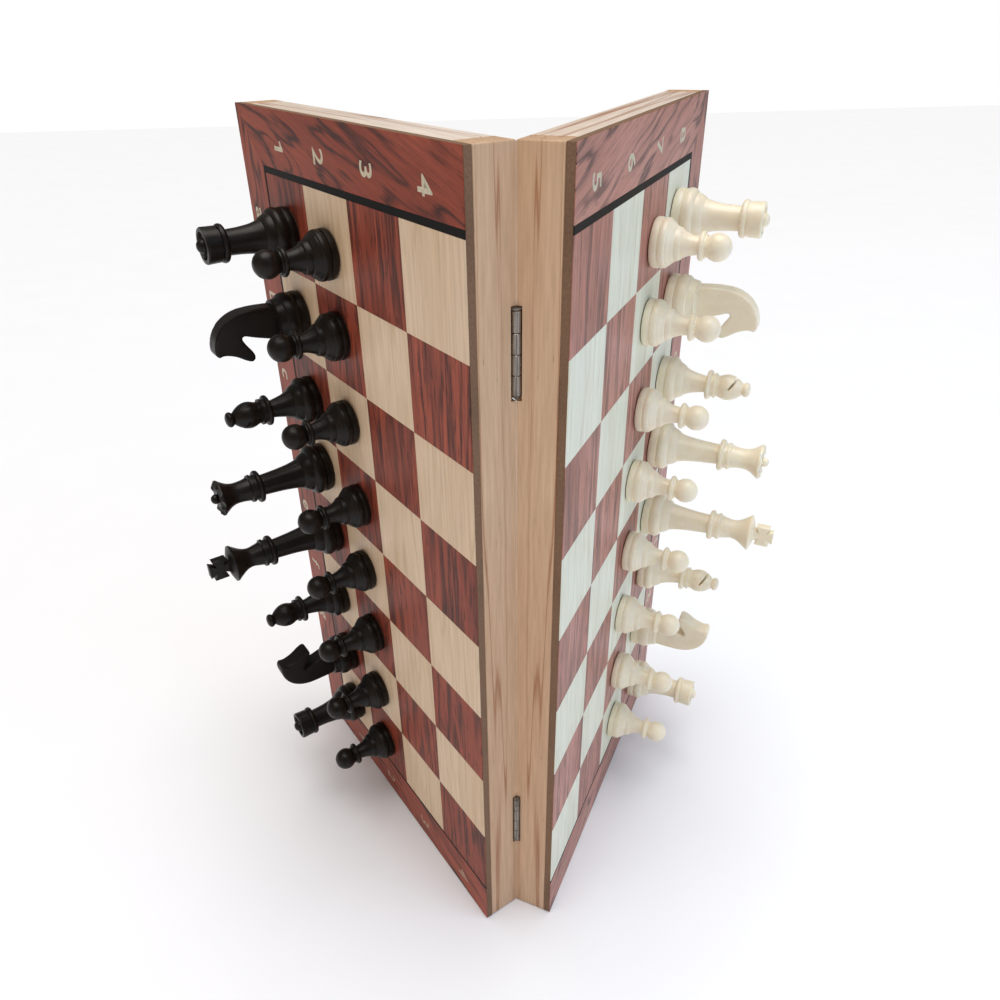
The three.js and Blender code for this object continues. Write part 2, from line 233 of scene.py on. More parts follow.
@dataclass(frozen=True)
class Finish:
    """A finish that reads Object coordinates turned into one half's frame, in millimetres."""

    name: str

    def grain_space(self, tree: NodeTree, half: Half | None, offsets: bool = False) -> NodeSocket:
        """Give a piece's own coordinates in millimetres.

        Args:
            tree: the node tree.
            half: the half whose frame is used, or None for the row frame.
            offsets: whether each sheet's own offset is added.

        Returns:
            The vector socket.
        """
        source = add_node(tree, "TexCoord").outputs["Object"]
        back = half.matrix().inverted() if half else Matrix.Scale(1 / MM, 4)
        mapping = add_node(
            tree,
            "Mapping",
            {"Location": back.translation, "Rotation": back.to_euler(), "Scale": (1 / MM,) * 3},
            {"Vector": source},
        )
        if not offsets:
            return mapping.outputs["Vector"]
        sheet = add_node(tree, "Attribute", {"attribute_name": "sheet"})
        return add_node(
            tree, "VectorMath", {"operation": "ADD"},
            {0: mapping.outputs["Vector"], 1: sheet.outputs["Vector"]}
        ).outputs["Vector"]

    def noise(
        self, tree: NodeTree, vector: NodeSocket, period: Sequence[float], turn: float = 0.0,
        **settings: float
    ) -> NodeSocket:
        """Add stretched noise.

        Args:
            tree: the node tree.
            vector: the coordinates in millimetres.
            period: the size of its features along x, y and z in millimetres.
            turn: the turn of the features about y, in degrees.
            **settings: settings of the noise node.

        Returns:
            The value socket.
        """
        turned = vector
        if turn:
            rotation = (0.0, math.radians(turn), 0.0)
            turned = add_node(tree, "Mapping", {"Rotation": rotation}, {"Vector": vector}).outputs["Vector"]
        stretched = add_node(tree, "Mapping", {"Scale": tuple(1 / p for p in period)}, {"Vector": turned})
        options = {"Scale": 1.0, "Detail": 3.0, "Roughness": 0.55} | settings
        return add_node(tree, "TexNoise", options, {"Vector": stretched.outputs["Vector"]}).outputs["Fac"]

    def blend(
        self, tree: NodeTree, low: NodeSocket | str, high: NodeSocket | str, factor: NodeSocket | float,
        mode: str = "MIX"
    ) -> NodeSocket:
        """Mix two colours.

        Args:
            tree: the node tree.
            low: colour socket or hex colour at factor 0.
            high: colour socket or hex colour at factor 1.
            factor: value socket or number.
            mode: the blend type.

        Returns:
            The colour socket.
        """
        settings: dict = {"data_type": "RGBA", "blend_type": mode}
        node = add_node(tree, "Mix", settings)
        for index, value in ((0, factor), (6, low), (7, high)):
            if isinstance(value, NodeSocket):
                tree.links.new(value, node.inputs[index])
            else:
                node.inputs[index].default_value = linear(value) if isinstance(value, str) else value
        return node.outputs[2]

    def level(
        self, tree: NodeTree, value: NodeSocket, low: float, high: float, out_low: float = 0.0,
        out_high: float = 1.0
    ) -> NodeSocket:
        """Spread a value over a new range, clamped.

        Args:
            tree: the node tree.
            value: the value socket.
            low: the value that gives out_low.
            high: the value that gives out_high.
            out_low: the new low end.
            out_high: the new high end.

        Returns:
            The value socket.
        """
        settings = {"From Min": low, "From Max": high, "To Min": out_low, "To Max": out_high}
        return add_node(tree, "MapRange", settings, {"Value": value}).outputs["Result"]

    def bump(
        self, tree: NodeTree, shader: Node, height: NodeSocket, distance: float, strength: float = 1.0
    ) -> None:
        """Raise a shader's surface by a height.

        Args:
            tree: the node tree.
            shader: the Principled shader.
            height: the height socket.
            distance: how high a value of 1 stands, in millimetres.
            strength: the bump's strength.
        """
        settings = {"Distance": distance * MM, "Strength": strength}
        node = add_node(tree, "Bump", settings, {"Height": height})
        tree.links.new(node.outputs["Normal"], shader.inputs["Normal"])


@dataclass(frozen=True)
class Timber(Finish):
    """Planed or sliced wood: tone that drifts, growth lines, dark figure and fine pores."""

    # Growth rings give bands and fine lines that follow each other, cut vessels give short dark
    # flecks, and thin lacquer gives a soft gloss over a surface that isn't quite flat.
    light: str
    middle: str
    line: str
    fleck: str
    grain: Grain = Grain.UPRIGHT
    figure_mm: tuple[float, float] = (9.0, 120.0)
    figure_lines: float = 6.0
    line_width: float = 0.16
    line_share: float = 0.6
    ragged: float = 0.25
    fade_mm: tuple[float, float] = (5.0, 22.0)
    fibre_mm: tuple[float, float] = (0.9, 20.0)
    fleck_mm: tuple[float, float] = (0.7, 9.0)
    fleck_from: float = 0.62
    fleck_share: float = 0.6
    band_share: float = 0.35
    fibre_dark: str = "#C4C4C4"
    roughness: tuple[float, float] = (0.42, 0.58)
    coat: float = 0.12
    specular: float = 0.4
    sheets: bool = False

    def material(self, half: Half) -> Material:
        """Build the wood for one half.

        Args:
            half: the half that it lies in.

        Returns:
            The material.
        """
        material, tree, shader = new_material(f"{self.name}_{half.side.word}_{self.grain.name.lower()}")
        space = self.grain_space(tree, half, self.sheets)
        turn = self.grain.value * -half.side.value
        across, along = self.figure_mm
        tone = self.noise(tree, space, (24, 24, 150), turn, Detail=2.0)
        # Real fibres are about 0.1 mm wide, too fine to show, so they are drawn about 1 mm wide.
        fine, length = self.fibre_mm
        fibres = self.noise(tree, space, (fine, fine, length), turn, Detail=4.0, Roughness=0.65)
        figure = self.noise(
            tree, space, (across, across, along), turn, Detail=2.0, Roughness=0.45, Distortion=0.15
        )
        scaled = add_node(
            tree, "Math", {"operation": "MULTIPLY", 1: self.figure_lines * 2}, {0: figure}
        ).outputs[0]
        steps = add_node(
            tree, "Math", {"operation": "MULTIPLY_ADD", 1: self.ragged * 2}, {0: fibres, 2: scaled}
        ).outputs[0]
        ridge = add_node(tree, "Math", {"operation": "PINGPONG", 1: 0.5}, {0: steps}).outputs[0]
        lines = self.level(tree, ridge, self.line_width, 0.0)
        bands = self.level(tree, ridge, 0.05, 0.5)
        near, far = self.fade_mm
        fade = self.noise(tree, space, (near, near, far), turn, Detail=3.0)
        strength = self.level(tree, fade, 0.36, 0.54, 0.25, 1.0)
        drawn = add_node(tree, "Math", {"operation": "MULTIPLY"}, {0: lines, 1: strength}).outputs[0]
        wide, long = self.fleck_mm
        flecks = self.noise(tree, space, (wide, wide, long), turn, Detail=3.0, Roughness=0.6)
        base = self.blend(tree, self.light, self.middle, self.level(tree, tone, 0.36, 0.64))
        banded = self.blend(tree, base, self.line, self.level(tree, bands, 0.0, 1.0, self.band_share, 0.0))
        lined = self.blend(tree, banded, self.line, self.level(tree, drawn, 0.0, 1.0, 0.0, self.line_share))
        marked = self.level(tree, flecks, self.fleck_from, self.fleck_from + 0.09, 0.0, self.fleck_share)
        flecked = self.blend(tree, lined, self.fleck, marked)
        shade = add_ramp(tree, fibres, ((0.3, self.fibre_dark), (0.7, "#FFFFFF")))
        colour = self.blend(tree, flecked, shade, 0.8, "MULTIPLY")
        tree.links.new(colour, shader.inputs["Base Color"])
        tree.links.new(self.level(tree, fibres, 0.2, 0.8, *self.roughness), shader.inputs["Roughness"])
        shader.inputs["IOR"].default_value = 1.48
        shader.inputs["Specular IOR Level"].default_value = self.specular
        shader.inputs["Coat Weight"].default_value = self.coat
        shader.inputs["Coat Roughness"].default_value = 0.34
        self.bump(tree, shader, fibres, 0.05, 0.5)
        return material


@dataclass(frozen=True)
class Fibreboard(Finish):
    """Pressed fibreboard: short fibres in brown, with pale and dark specks on its sawn edge."""

    # Matted wood fibres, hot pressed, scatter light and look dull and speckled.
    dark: str = "#6B4F3B"
    pale: str = "#8E6F55"

    def material(self, half: Half) -> Material:
        """Build the board for one half.

        Args:
            half: the half that it lies in.

        Returns:
            The material.
        """
        material, tree, shader = new_material(f"{self.name}_{half.side.word}")
        space = self.grain_space(tree, half)
        specks = self.noise(tree, space, (0.5, 0.5, 0.9), Detail=5.0, Roughness=0.75)
        drift = self.noise(tree, space, (18, 18, 30))
        base = self.blend(tree, self.dark, self.pale, self.level(tree, specks, 0.32, 0.68))
        colour = self.blend(tree, base, "#4E392B", self.level(tree, drift, 0.5, 0.75, 0.0, 0.35))
        tree.links.new(colour, shader.inputs["Base Color"])
        tree.links.new(self.level(tree, specks, 0.3, 0.7, 0.72, 0.9), shader.inputs["Roughness"])
        self.bump(tree, shader, specks, 0.12, 0.6)
        return material


@dataclass(frozen=True)
class Metal(Finish):
    """Bright or dulled metal with drawn lines, tarnish and small scratches."""

    # Rolled or drawn metal reflects along its lines, and tarnish makes it brown and dull in places.
    bright: str
    dull: str
    tarnish: str
    lines_mm: tuple[float, float, float] = (0.12, 0.12, 4.0)
    roughness: tuple[float, float] = (0.25, 0.48)

    def material(self) -> Material:
        """Build the metal.

        Returns:
            The material.
        """
        material, tree, shader = new_material(self.name)
        space = self.grain_space(tree, None)
        lines = self.noise(tree, space, self.lines_mm, Detail=3.0, Roughness=0.6)
        stain = self.noise(tree, space, (2.0, 2.0, 7.0), Detail=4.0, Roughness=0.55)
        base = self.blend(tree, self.bright, self.dull, self.level(tree, lines, 0.3, 0.7))
        colour = self.blend(tree, base, self.tarnish, self.level(tree, stain, 0.48, 0.72, 0.0, 0.7))
        tree.links.new(colour, shader.inputs["Base Color"])
        tree.links.new(self.level(tree, stain, 0.35, 0.7, *self.roughness), shader.inputs["Roughness"])
        shader.inputs["Metallic"].default_value = 1.0
        self.bump(tree, shader, lines, 0.012, 0.5)
        return material


@dataclass(frozen=True)
class MouldedPlastic(Finish):
    """Injection moulded polystyrene with a satin skin."""

    # The mould's fine polish leaves a soft gloss with faint flow marks, and handling wears
    # it unevenly. A pale body lets a little light through.
    body: str
    flow: str
    roughness: tuple[float, float] = (0.3, 0.42)
    subsurface: float = 0.0
    specular: float = 0.5

    def material(self) -> Material:
        """Build the plastic.

        Returns:
            The material.
        """
        material, tree, shader = new_material(self.name)
        space = self.grain_space(tree, None)
        flow = self.noise(tree, space, (7, 7, 7), Detail=3.0, Distortion=0.6)
        skin = self.noise(tree, space, (0.35, 0.35, 0.35), Detail=3.0)
        wear = self.noise(tree, space, (2.5, 2.5, 2.5), Detail=4.0, Roughness=0.6)
        colour = self.blend(tree, self.body, self.flow, self.level(tree, flow, 0.35, 0.7))
        tree.links.new(colour, shader.inputs["Base Color"])
        tree.links.new(self.level(tree, wear, 0.3, 0.7, *self.roughness), shader.inputs["Roughness"])
        shader.inputs["IOR"].default_value = 1.53
        shader.inputs["Specular IOR Level"].default_value = self.specular
        shader.inputs["Subsurface Weight"].default_value = self.subsurface
        shader.inputs["Subsurface Scale"].default_value = 0.002
        shader.inputs["Subsurface Radius"].default_value = (1.0, 0.7, 0.4)
        self.bump(tree, shader, skin, 0.02, 0.35)
        return material


@dataclass(frozen=True)
class Felt(Finish):
    """Pressed wool felt under a man's foot."""

    # Matted wool has a soft nap, which lightens at a glancing angle.
    body: str = "#4A3426"
    nap: str = "#6A4E3A"

    def material(self) -> Material:
        """Build the felt.

        Returns:
            The material.
        """
        material, tree, shader = new_material(self.name)
        space = self.grain_space(tree, None)
        fibres = self.noise(tree, space, (0.3, 0.3, 0.3), Detail=5.0, Roughness=0.8)
        colour = self.blend(tree, self.body, self.nap, self.level(tree, fibres, 0.35, 0.65))
        tree.links.new(colour, shader.inputs["Base Color"])
        shader.inputs["Roughness"].default_value = 0.95
        shader.inputs["Sheen Weight"].default_value = 0.25
        shader.inputs["Sheen Roughness"].default_value = 0.6
        self.bump(tree, shader, fibres, 0.08, 0.7)
        return material


@dataclass(frozen=True)
class Ink(Finish):
    """Screen printed ink or dyed stringing, slightly worn over the wood's pores."""

    # Thin opaque ink sinks into the pores, so its edge is crisp but its middle is uneven.
    body: str
    worn: str
    roughness: float = 0.6
    specular: float = 0.4

    def material(self, half: Half) -> Material:
        """Build the ink for one half.

        Args:
            half: the half that it lies in.

        Returns:
            The material.
        """
        material, tree, shader = new_material(f"{self.name}_{half.side.word}")
        space = self.grain_space(tree, half)
        wear = self.noise(tree, space, (0.5, 0.5, 2.4), Detail=5.0, Roughness=0.7)
        colour = self.blend(tree, self.body, self.worn, self.level(tree, wear, 0.45, 0.75))
        tree.links.new(colour, shader.inputs["Base Color"])
        shader.inputs["Roughness"].default_value = self.roughness
        shader.inputs["Specular IOR Level"].default_value = self.specular
        self.bump(tree, shader, wear, 0.03, 0.5)
        return material


@dataclass(frozen=True)
class Paper(Finish):
    """A plain matt backdrop sheet."""

    # A big roll of coated paper: even, dull and pale.
    body: str = "#F2F5FC"

    def material(self) -> Material:
        """Build the sheet.

        Returns:
            The material.
        """
        material, tree, shader = new_material(self.name)
        space = self.grain_space(tree, None)
        tooth = self.noise(tree, space, (60, 60, 60), Detail=2.0)
        colour = self.blend(tree, self.body, "#F6F9FF", tooth)
        tree.links.new(colour, shader.inputs["Base Color"])
        shader.inputs["Roughness"].default_value = 0.9
        return material


PINE = Timber(
    "lacquered_planed_pine", "#DFBF9E", "#D2AA86", "#A05C26", "#6B3B1A", figure_mm=(6.5, 340.0),
    figure_lines=2.5, line_width=0.1,
    line_share=0.75, ragged=0.05, fade_mm=(6.0, 140.0), fleck_mm=(0.8, 9.0), fleck_from=0.69,
    fleck_share=0.75, band_share=0.12, fibre_dark="#DCD5CE",
)
# The halves get lit and shaded copies of one rosewood. The right half's paler, pinker colours are painted light,
# standing in for the cool light and lacquer sheen on that half. The left half's deeper, browner colours are
# painted shade.
ROSEWOOD_PAINTED_LIGHT_BY_HALF = {
    Side.LEFT: Timber(
        "sliced_rosewood_veneer", "#B75D46", "#9E4A35", "#3E1F1B", "#261210", figure_mm=(10.0, 120.0),
        figure_lines=3.2, line_width=0.3,
        line_share=0.9, ragged=0.5, fade_mm=(8.0, 45.0), fleck_mm=(1.1, 9.0), fleck_from=0.57,
        fleck_share=0.65, band_share=0.15, fibre_dark="#A09490", coat=0.04, specular=0.22, sheets=True,
    ),
    Side.RIGHT: Timber(
        "sliced_rosewood_veneer", "#D89B8C", "#C58373", "#5E3833", "#452824", figure_mm=(10.0, 120.0),
        figure_lines=3.2, line_width=0.28,
        line_share=0.75, ragged=0.5, fade_mm=(8.0, 45.0), fleck_mm=(1.1, 9.0), fleck_from=0.58,
        fleck_share=0.6, band_share=0.15, fibre_dark="#B2A5A1", coat=0.12, specular=0.4, sheets=True,
    ),
}
# The halves get lit and shaded copies of one maple. The right half's whiter, greener colours are painted light,
# standing in for the cool light on that half. The left half's warmer, darker colours are painted dimmer warm
# light.
MAPLE_PAINTED_LIGHT_BY_HALF = {
    Side.LEFT: Timber(
        "sliced_maple_veneer", "#EDD6BB", "#E4CAAA", "#C6A97C", "#A98A63", figure_mm=(8.0, 120.0),
        figure_lines=3.0, line_width=0.14,
        line_share=0.35, ragged=0.15, fleck_from=0.66, fleck_share=0.25, band_share=0.08,
        fibre_dark="#E2DED8", coat=0.08, specular=0.35, sheets=True,
    ),
    Side.RIGHT: Timber(
        "sliced_maple_veneer", "#F6FAEB", "#EEF2E0", "#CDBF9C", "#B3A079", figure_mm=(8.0, 120.0),
        figure_lines=3.0, line_width=0.14,
        line_share=0.3, ragged=0.15, fleck_from=0.66, fleck_share=0.25, band_share=0.08, fibre_dark="#E4E2DD",
        coat=0.12, specular=0.45, sheets=True,
    ),
}
FIBREBOARD = Fibreboard("pressed_fibreboard")
HINGE_STEEL = Metal("rolled_hinge_steel", "#968F87", "#716A63", "#463B32", (0.3, 0.3, 9.0), (0.18, 0.34))
PIN_STEEL = Metal("drawn_steel_pin", "#8F8880", "#716A62", "#463C33", roughness=(0.34, 0.5))
SHEET_STEEL = Metal("galvanised_sheet_steel", "#A9ACAD", "#8E9293", "#6E7070", (3.0, 3.0, 5.0), (0.35, 0.6))
PLATED_STEEL = Metal("nickel_plated_steel", "#B9B3AA", "#9A938A", "#6A6056")
BLACK_PLASTIC = MouldedPlastic("moulded_black_polystyrene", "#100C09", "#1A140F", (0.32, 0.44), specular=0.2)
IVORY_PLASTIC = MouldedPlastic("moulded_ivory_polystyrene", "#F9F0DA", "#F2E7CD", (0.26, 0.38), 0.3)
FOOT_FELT = Felt("pressed_wool_felt")
MARK_INK = Ink("printed_cream_ink", "#D6CFB8", "#B3A387")
# The lower numbers are printed in a darker, browner cream than the upper ones.
FAINT_INK = Ink("worn_cream_ink", "#B79D84", "#96604E")
STRINGING = Ink("black_dyed_stringing", "#0B0A09", "#191613", 0.6, 0.15)
BACKDROP = Paper("matt_coated_paper")


# ---------------------------------------------------------------- modelling tools


def deselect_all() -> None:
    """Leave nothing selected, in object mode."""
    if bpy.context.object and bpy.context.object.mode != "OBJECT":
        bpy.ops.object.mode_set(mode="OBJECT")
    for obj in bpy.context.selected_objects:
        obj.select_set(False)


def activate(obj: Object) -> None:
    """Select one object alone and make it active.

    Args:
        obj: the object.
    """
    deselect_all()
    obj.select_set(True)
    bpy.context.view_layer.objects.active = obj


def adopt(name: str) -> Object:
    """Name the object that an operator has just added, and its mesh.

    Args:
        name: the new name.

    Returns:
        The object.
    """
    obj = bpy.context.object
    obj.name = name
    obj.data.name = name
    return obj


def apply_modifier(obj: Object, kind: str, **settings: object) -> None:
    """Add a modifier and apply it.

    Args:
        obj: the object.
        kind: the modifier's type.
        **settings: its settings.
    """
    activate(obj)
    modifier = obj.modifiers.new(kind.title(), kind)
    for key, value in settings.items():
        setattr(modifier, key, value)
    bpy.ops.object.modifier_apply(modifier=modifier.name)


def box(name: str, corners: Corners, arris: float = 0.0, segments: int = 2) -> Object:
    """Make a block between two corners, with its arrises eased.

    Args:
        name: the object's name.
        corners: lowest and highest corners in millimetres.
        arris: the width of the eased edges.
        segments: the number of facets in each.

    Returns:
        The object.
    """
    low, high = corners
    deselect_all()
    bpy.ops.mesh.primitive_cube_add(size=1.0, location=(low + high) / 2, scale=high - low)
    obj = adopt(name)
    bpy.ops.object.transform_apply(location=True, rotation=True, scale=True)
    if arris:
        apply_modifier(obj, "BEVEL", width=arris, segments=segments, limit_method="NONE")
    return obj


def rod(name: str, radius: float, low: Vector, high: Vector, vertices: int = 48) -> Object:
    """Make a round cutter between two points.

    Args:
        name: the object's name.
        radius: its radius in millimetres.
        low: one end.
        high: the other end.
        vertices: the number of sides.

    Returns:
        The object.
    """
    deselect_all()
    axis = high - low
    turn = axis.to_track_quat("Z", "Y").to_euler()
    bpy.ops.mesh.primitive_cylinder_add(
        vertices=vertices, radius=radius, depth=axis.length, location=(low + high) / 2, rotation=turn
    )
    obj = adopt(name)
    bpy.ops.object.transform_apply(location=True, rotation=True, scale=True)
    return obj


def combine(obj: Object, tool: Object, operation: str = "DIFFERENCE") -> Object:
    """Cut a tool out of an object, or fuse it on, and remove the tool.

    Args:
        obj: the object that is kept.
        tool: the object that is used up.
        operation: the boolean operation.

    Returns:
        The object that is kept.
    """
    apply_modifier(obj, "BOOLEAN", operation=operation, object=tool, solver="EXACT")
    mesh = tool.data
    bpy.data.objects.remove(tool)
    bpy.data.meshes.remove(mesh)
    return obj


def join(name: str, parts: Sequence[Object]) -> Object:
    """Join several objects into one.

    Args:
        name: the new name.
        parts: the objects.

    Returns:
        The one object.
    """
    activate(parts[0])
    for part in parts[1:]:
        part.select_set(True)
    if len(parts) > 1:
        bpy.ops.object.join()
    return adopt(name)


def copy_of(obj: Object, name: str) -> Object:
    """Copy an object with a mesh of its own.

    Args:
        obj: the object.
        name: the copy's name.

    Returns:
        The copy.
    """
    twin = obj.copy()
    twin.data = obj.data.copy()
    twin.name = twin.data.name = name
    bpy.context.scene.collection.objects.link(twin)
    return twin


def discard(obj: Object) -> None:
    """Remove a pattern object and its mesh.

    Args:
        obj: the object.
    """
    mesh = obj.data
    bpy.data.objects.remove(obj)
    bpy.data.meshes.remove(mesh)


def shade(obj: Object, degrees: float = 32.0) -> None:
    """Shade smooth across edges flatter than an angle.

    Args:
        obj: the object.
        degrees: the angle.
    """
    activate(obj)
    bpy.ops.object.shade_smooth_by_angle(angle=math.radians(degrees))


def heal(obj: Object, gap: float = 0.001) -> None:
    """Merge doubles and point the faces outwards.

    Args:
        obj: the object.
        gap: how near two points must be to merge.
    """
    activate(obj)
    bpy.ops.object.mode_set(mode="EDIT")
    bpy.ops.mesh.select_all(action="SELECT")
    bpy.ops.mesh.remove_doubles(threshold=gap)
    bpy.ops.mesh.normals_make_consistent(inside=False)
    bpy.ops.object.mode_set(mode="OBJECT")


def start_point(name: str, point: Vector) -> Object:
    """Make an object of a single selected point, left in edit mode.

    Args:
        name: the object's name.
        point: the point's place.

    Returns:
        The object.
    """
    deselect_all()
    bpy.ops.mesh.primitive_plane_add(size=1.0)
    obj = adopt(name)
    bpy.ops.object.mode_set(mode="EDIT")
    bpy.ops.mesh.select_mode(type="VERT")
    bpy.ops.mesh.select_all(action="SELECT")
    bpy.ops.mesh.merge(type="CENTER")
    bpy.ops.transform.translate(value=point)
    return obj


def draw_line(name: str, points: Sequence[Vector]) -> Object:
    """Extrude a point along a line, left in edit mode.

    Args:
        name: the object's name.
        points: the line's points.

    Returns:
        The object.
    """
    obj = start_point(name, points[0])
    for a, b in zip(points, points[1:]):
        bpy.ops.mesh.extrude_vertices_move(TRANSFORM_OT_translate={"value": b - a})
    return obj


def turned(name: str, profile: Sequence[tuple[float, float]], steps: int = 64) -> Object:
    """Turn a profile about the upright axis.

    Args:
        name: the object's name.
        profile: heights and radii in millimetres, from the foot to the top.
        steps: the number of sides.

    Returns:
        The closed object.
    """
    obj = draw_line(name, [Vector((r, 0.0, h)) for h, r in profile])
    bpy.ops.mesh.select_all(action="SELECT")
    bpy.ops.mesh.spin(steps=steps, angle=math.tau, center=(0, 0, 0), axis=(0, 0, 1))
    heal(obj)
    return obj


def rounded(points: Sequence[tuple], density: float = 0.45) -> list[tuple[float, float]]:
    """Draw a smooth line through points, with corners kept where a point is marked.

    Args:
        points: pairs, with a third value that is true at a corner.
        density: the length of each short piece in millimetres.

    Returns:
        The points of the smooth line.
    """
    line: list[tuple[float, float]] = [tuple(points[0][:2])]
    for i in range(len(points) - 1):
        a, b = Vector(points[i][:2]), Vector(points[i + 1][:2])
        before = a if i == 0 or len(points[i]) > 2 else Vector(points[i - 1][:2])
        after = b if i + 2 >= len(points) or len(points[i + 1]) > 2 else Vector(points[i + 2][:2])
        straight = before == a and after == b
        pieces = 1 if straight else max(2, min(8, round((b - a).length / density)))
        start, end = (b - before) / 2, (after - a) / 2
        for k in range(1, pieces + 1):
            t = k / pieces
            p = (2 * t**3 - 3 * t**2 + 1) * a + (t**3 - 2 * t**2 + t) * start
            p += (3 * t**2 - 2 * t**3) * b + (t**3 - t**2) * end
            line.append((p.x, p.y))
    return line


def finish_piece(
    obj: Object, material: Material, matrix: Matrix, body: str, nodes: Iterable[str] = ()
) -> Object:
    """Dress a piece, put its place in its mesh, and tie it to the frame.

    Args:
        obj: the piece, in millimetres in its own frame.
        material: its material.
        matrix: from its own frame to the row frame.
        body: the CAD body it rides on.
        nodes: the CAD nodes that it replaces.

    Returns:
        The piece.
    """
    obj.data.materials.clear()
    obj.data.materials.append(material)
    obj.data.transform(matrix)
    obj.data.update()
    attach(obj, body)
    if nodes:
        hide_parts(*nodes)
    triangles = sum(len(p.vertices) - 2 for p in obj.data.polygons)
    log.info("%s on %s: %s, %d triangles", obj.name, body, material.name, triangles)
    return obj


# ---------------------------------------------------------------- the board's halves


@dataclass
class Tray:
    """One half's rails and panel, with the bed for its steel sheet."""

    half: Half
    arris: float = 0.45
    draw_in: float = 0.14
    hinge_clear: float = 0.2
    leaf_clear: float = 0.22
    panel_drop: float = 0.06
    glue_gap: float = 0.01
    pilot_radius: float = 1.1

    def snug(self, corners: Corners) -> Corners:
        """Bring a block's sides by the fold closer to it, so that no wide slit shows there.

        Args:
            corners: lowest and highest corners.

        Returns:
            The corners with the sides at the spine and the rims moved.
        """
        low, high = corners[0].copy(), corners[1].copy()
        if low.y < 1.0:
            low.y -= self.draw_in
        if self.half.side is Side.LEFT and low.x < 1.0:
            low.x -= self.draw_in
        if self.half.side is Side.RIGHT and high.x > -1.0:
            high.x += self.draw_in
        return low, high

    def rail(self, node: str) -> Object:
        """Make one rail with eased arrises, all but the one at the fold.

        Args:
            node: the rail's CAD node.

        Returns:
            The object.
        """
        corners = self.snug(self.half.span(node))
        obj = box(f"{node}_planed", corners)
        obj.data.update()
        activate(obj)
        bpy.ops.object.mode_set(mode="EDIT")
        bpy.ops.mesh.select_mode(type="EDGE")
        bpy.ops.mesh.select_all(action="DESELECT")
        bpy.ops.object.mode_set(mode="OBJECT")
        for edge in obj.data.edges:
            ends = [obj.data.vertices[i].co for i in edge.vertices]
            edge.select = not all(abs(p.x) < 1.0 and p.y < 1.0 for p in ends)
        bpy.ops.object.mode_set(mode="EDIT")
        bpy.ops.mesh.bevel(offset=self.arris, segments=3, affect="EDGES")
        bpy.ops.object.mode_set(mode="OBJECT")
        return obj

    def cut_hinge_seat(self, rail: Object, place: str) -> None:
        """Mill the groove of a barrel and the recess of its leaf.

        Args:
            rail: the spine rail.
            place: upper or lower.
        """
        side = self.half.side.word
        low, high = self.half.span(f"{place}_hinge_{side}_leaf")
        pin_low, pin_high = self.half.span(f"{place}_hinge_pin")
        radius = high.y + self.hinge_clear
        ends = Vector((0, 0, pin_low.z - 0.15)), Vector((0, 0, pin_high.z + 0.15))
        combine(rail, rod("groove", radius, *ends))
        far = max(abs(low.x), abs(high.x)) + self.leaf_clear
        recess = self.half.box_of((-0.5, far), (-1.0, 0.95 + self.leaf_clear), (low.z - 0.3, high.z + 0.3))
        combine(rail, box("recess", recess))

    def build(self) -> None:
        """Make the rails and the panel."""
        side = self.half.side.word
        upright = PINE.material(self.half)
        # The top and bottom rails use the same pine painted much paler: painted light, standing in for the
        # overhead light that falls on the top rail.
        level = replace(
            PINE, name="lacquered_pale_pine", grain=Grain.LEVEL, light="#F4E8DD", middle="#ECDBCB"
        ).material(self.half)
        for word in ("spine", "outer", "top", "bottom"):
            node = f"{side}_{word}_rail"
            rail = self.rail(node)
            if word == "spine":
                self.cut_hinge_seat(rail, "upper")
                self.cut_hinge_seat(rail, "lower")
            if word == "outer":
                self.drill(rail)
            shade(rail)
            finish_piece(
                rail, upright if word in ("spine", "outer") else level, self.half.matrix(), self.half.body(),
                [node]
            )
        self.build_panel()

    def drill(self, rail: Object) -> None:
        """Drill the clasp's screw hole in the outer rail.

        Args:
            rail: the outer rail.
        """
        node = "clasp_pivot_screw" if self.half.side is Side.LEFT else "clasp_stud"
        low, high = self.half.span(node)
        middle = (low + high) / 2
        start, end = Vector((low.x - 0.2, middle.y, middle.z)), Vector((high.x + 0.2, middle.y, middle.z))
        combine(rail, rod("pilot", self.pilot_radius, start, end, 24))

    def build_panel(self) -> None:
        """Make the fibreboard panel with the bed of its steel sheet."""
        side = self.half.side.word
        low, high = self.snug(self.half.span(f"{side}_base_panel"))
        low.y -= self.panel_drop
        high.y = SHEET_BOTTOM - self.glue_gap
        panel = box(f"{side}_base_panel_board", (low, high), 0.12, 1)
        bed_low, bed_high = self.half.span(f"{side}_steel_sheet")
        reach = Vector((0.15, 0.1, 0.15))
        combine(panel, box("bed", (bed_low - reach, bed_high + reach)))
        shade(panel)
        finish_piece(
            panel, FIBREBOARD.material(self.half), self.half.matrix(), self.half.body(),
            [f"{side}_base_panel"]
        )


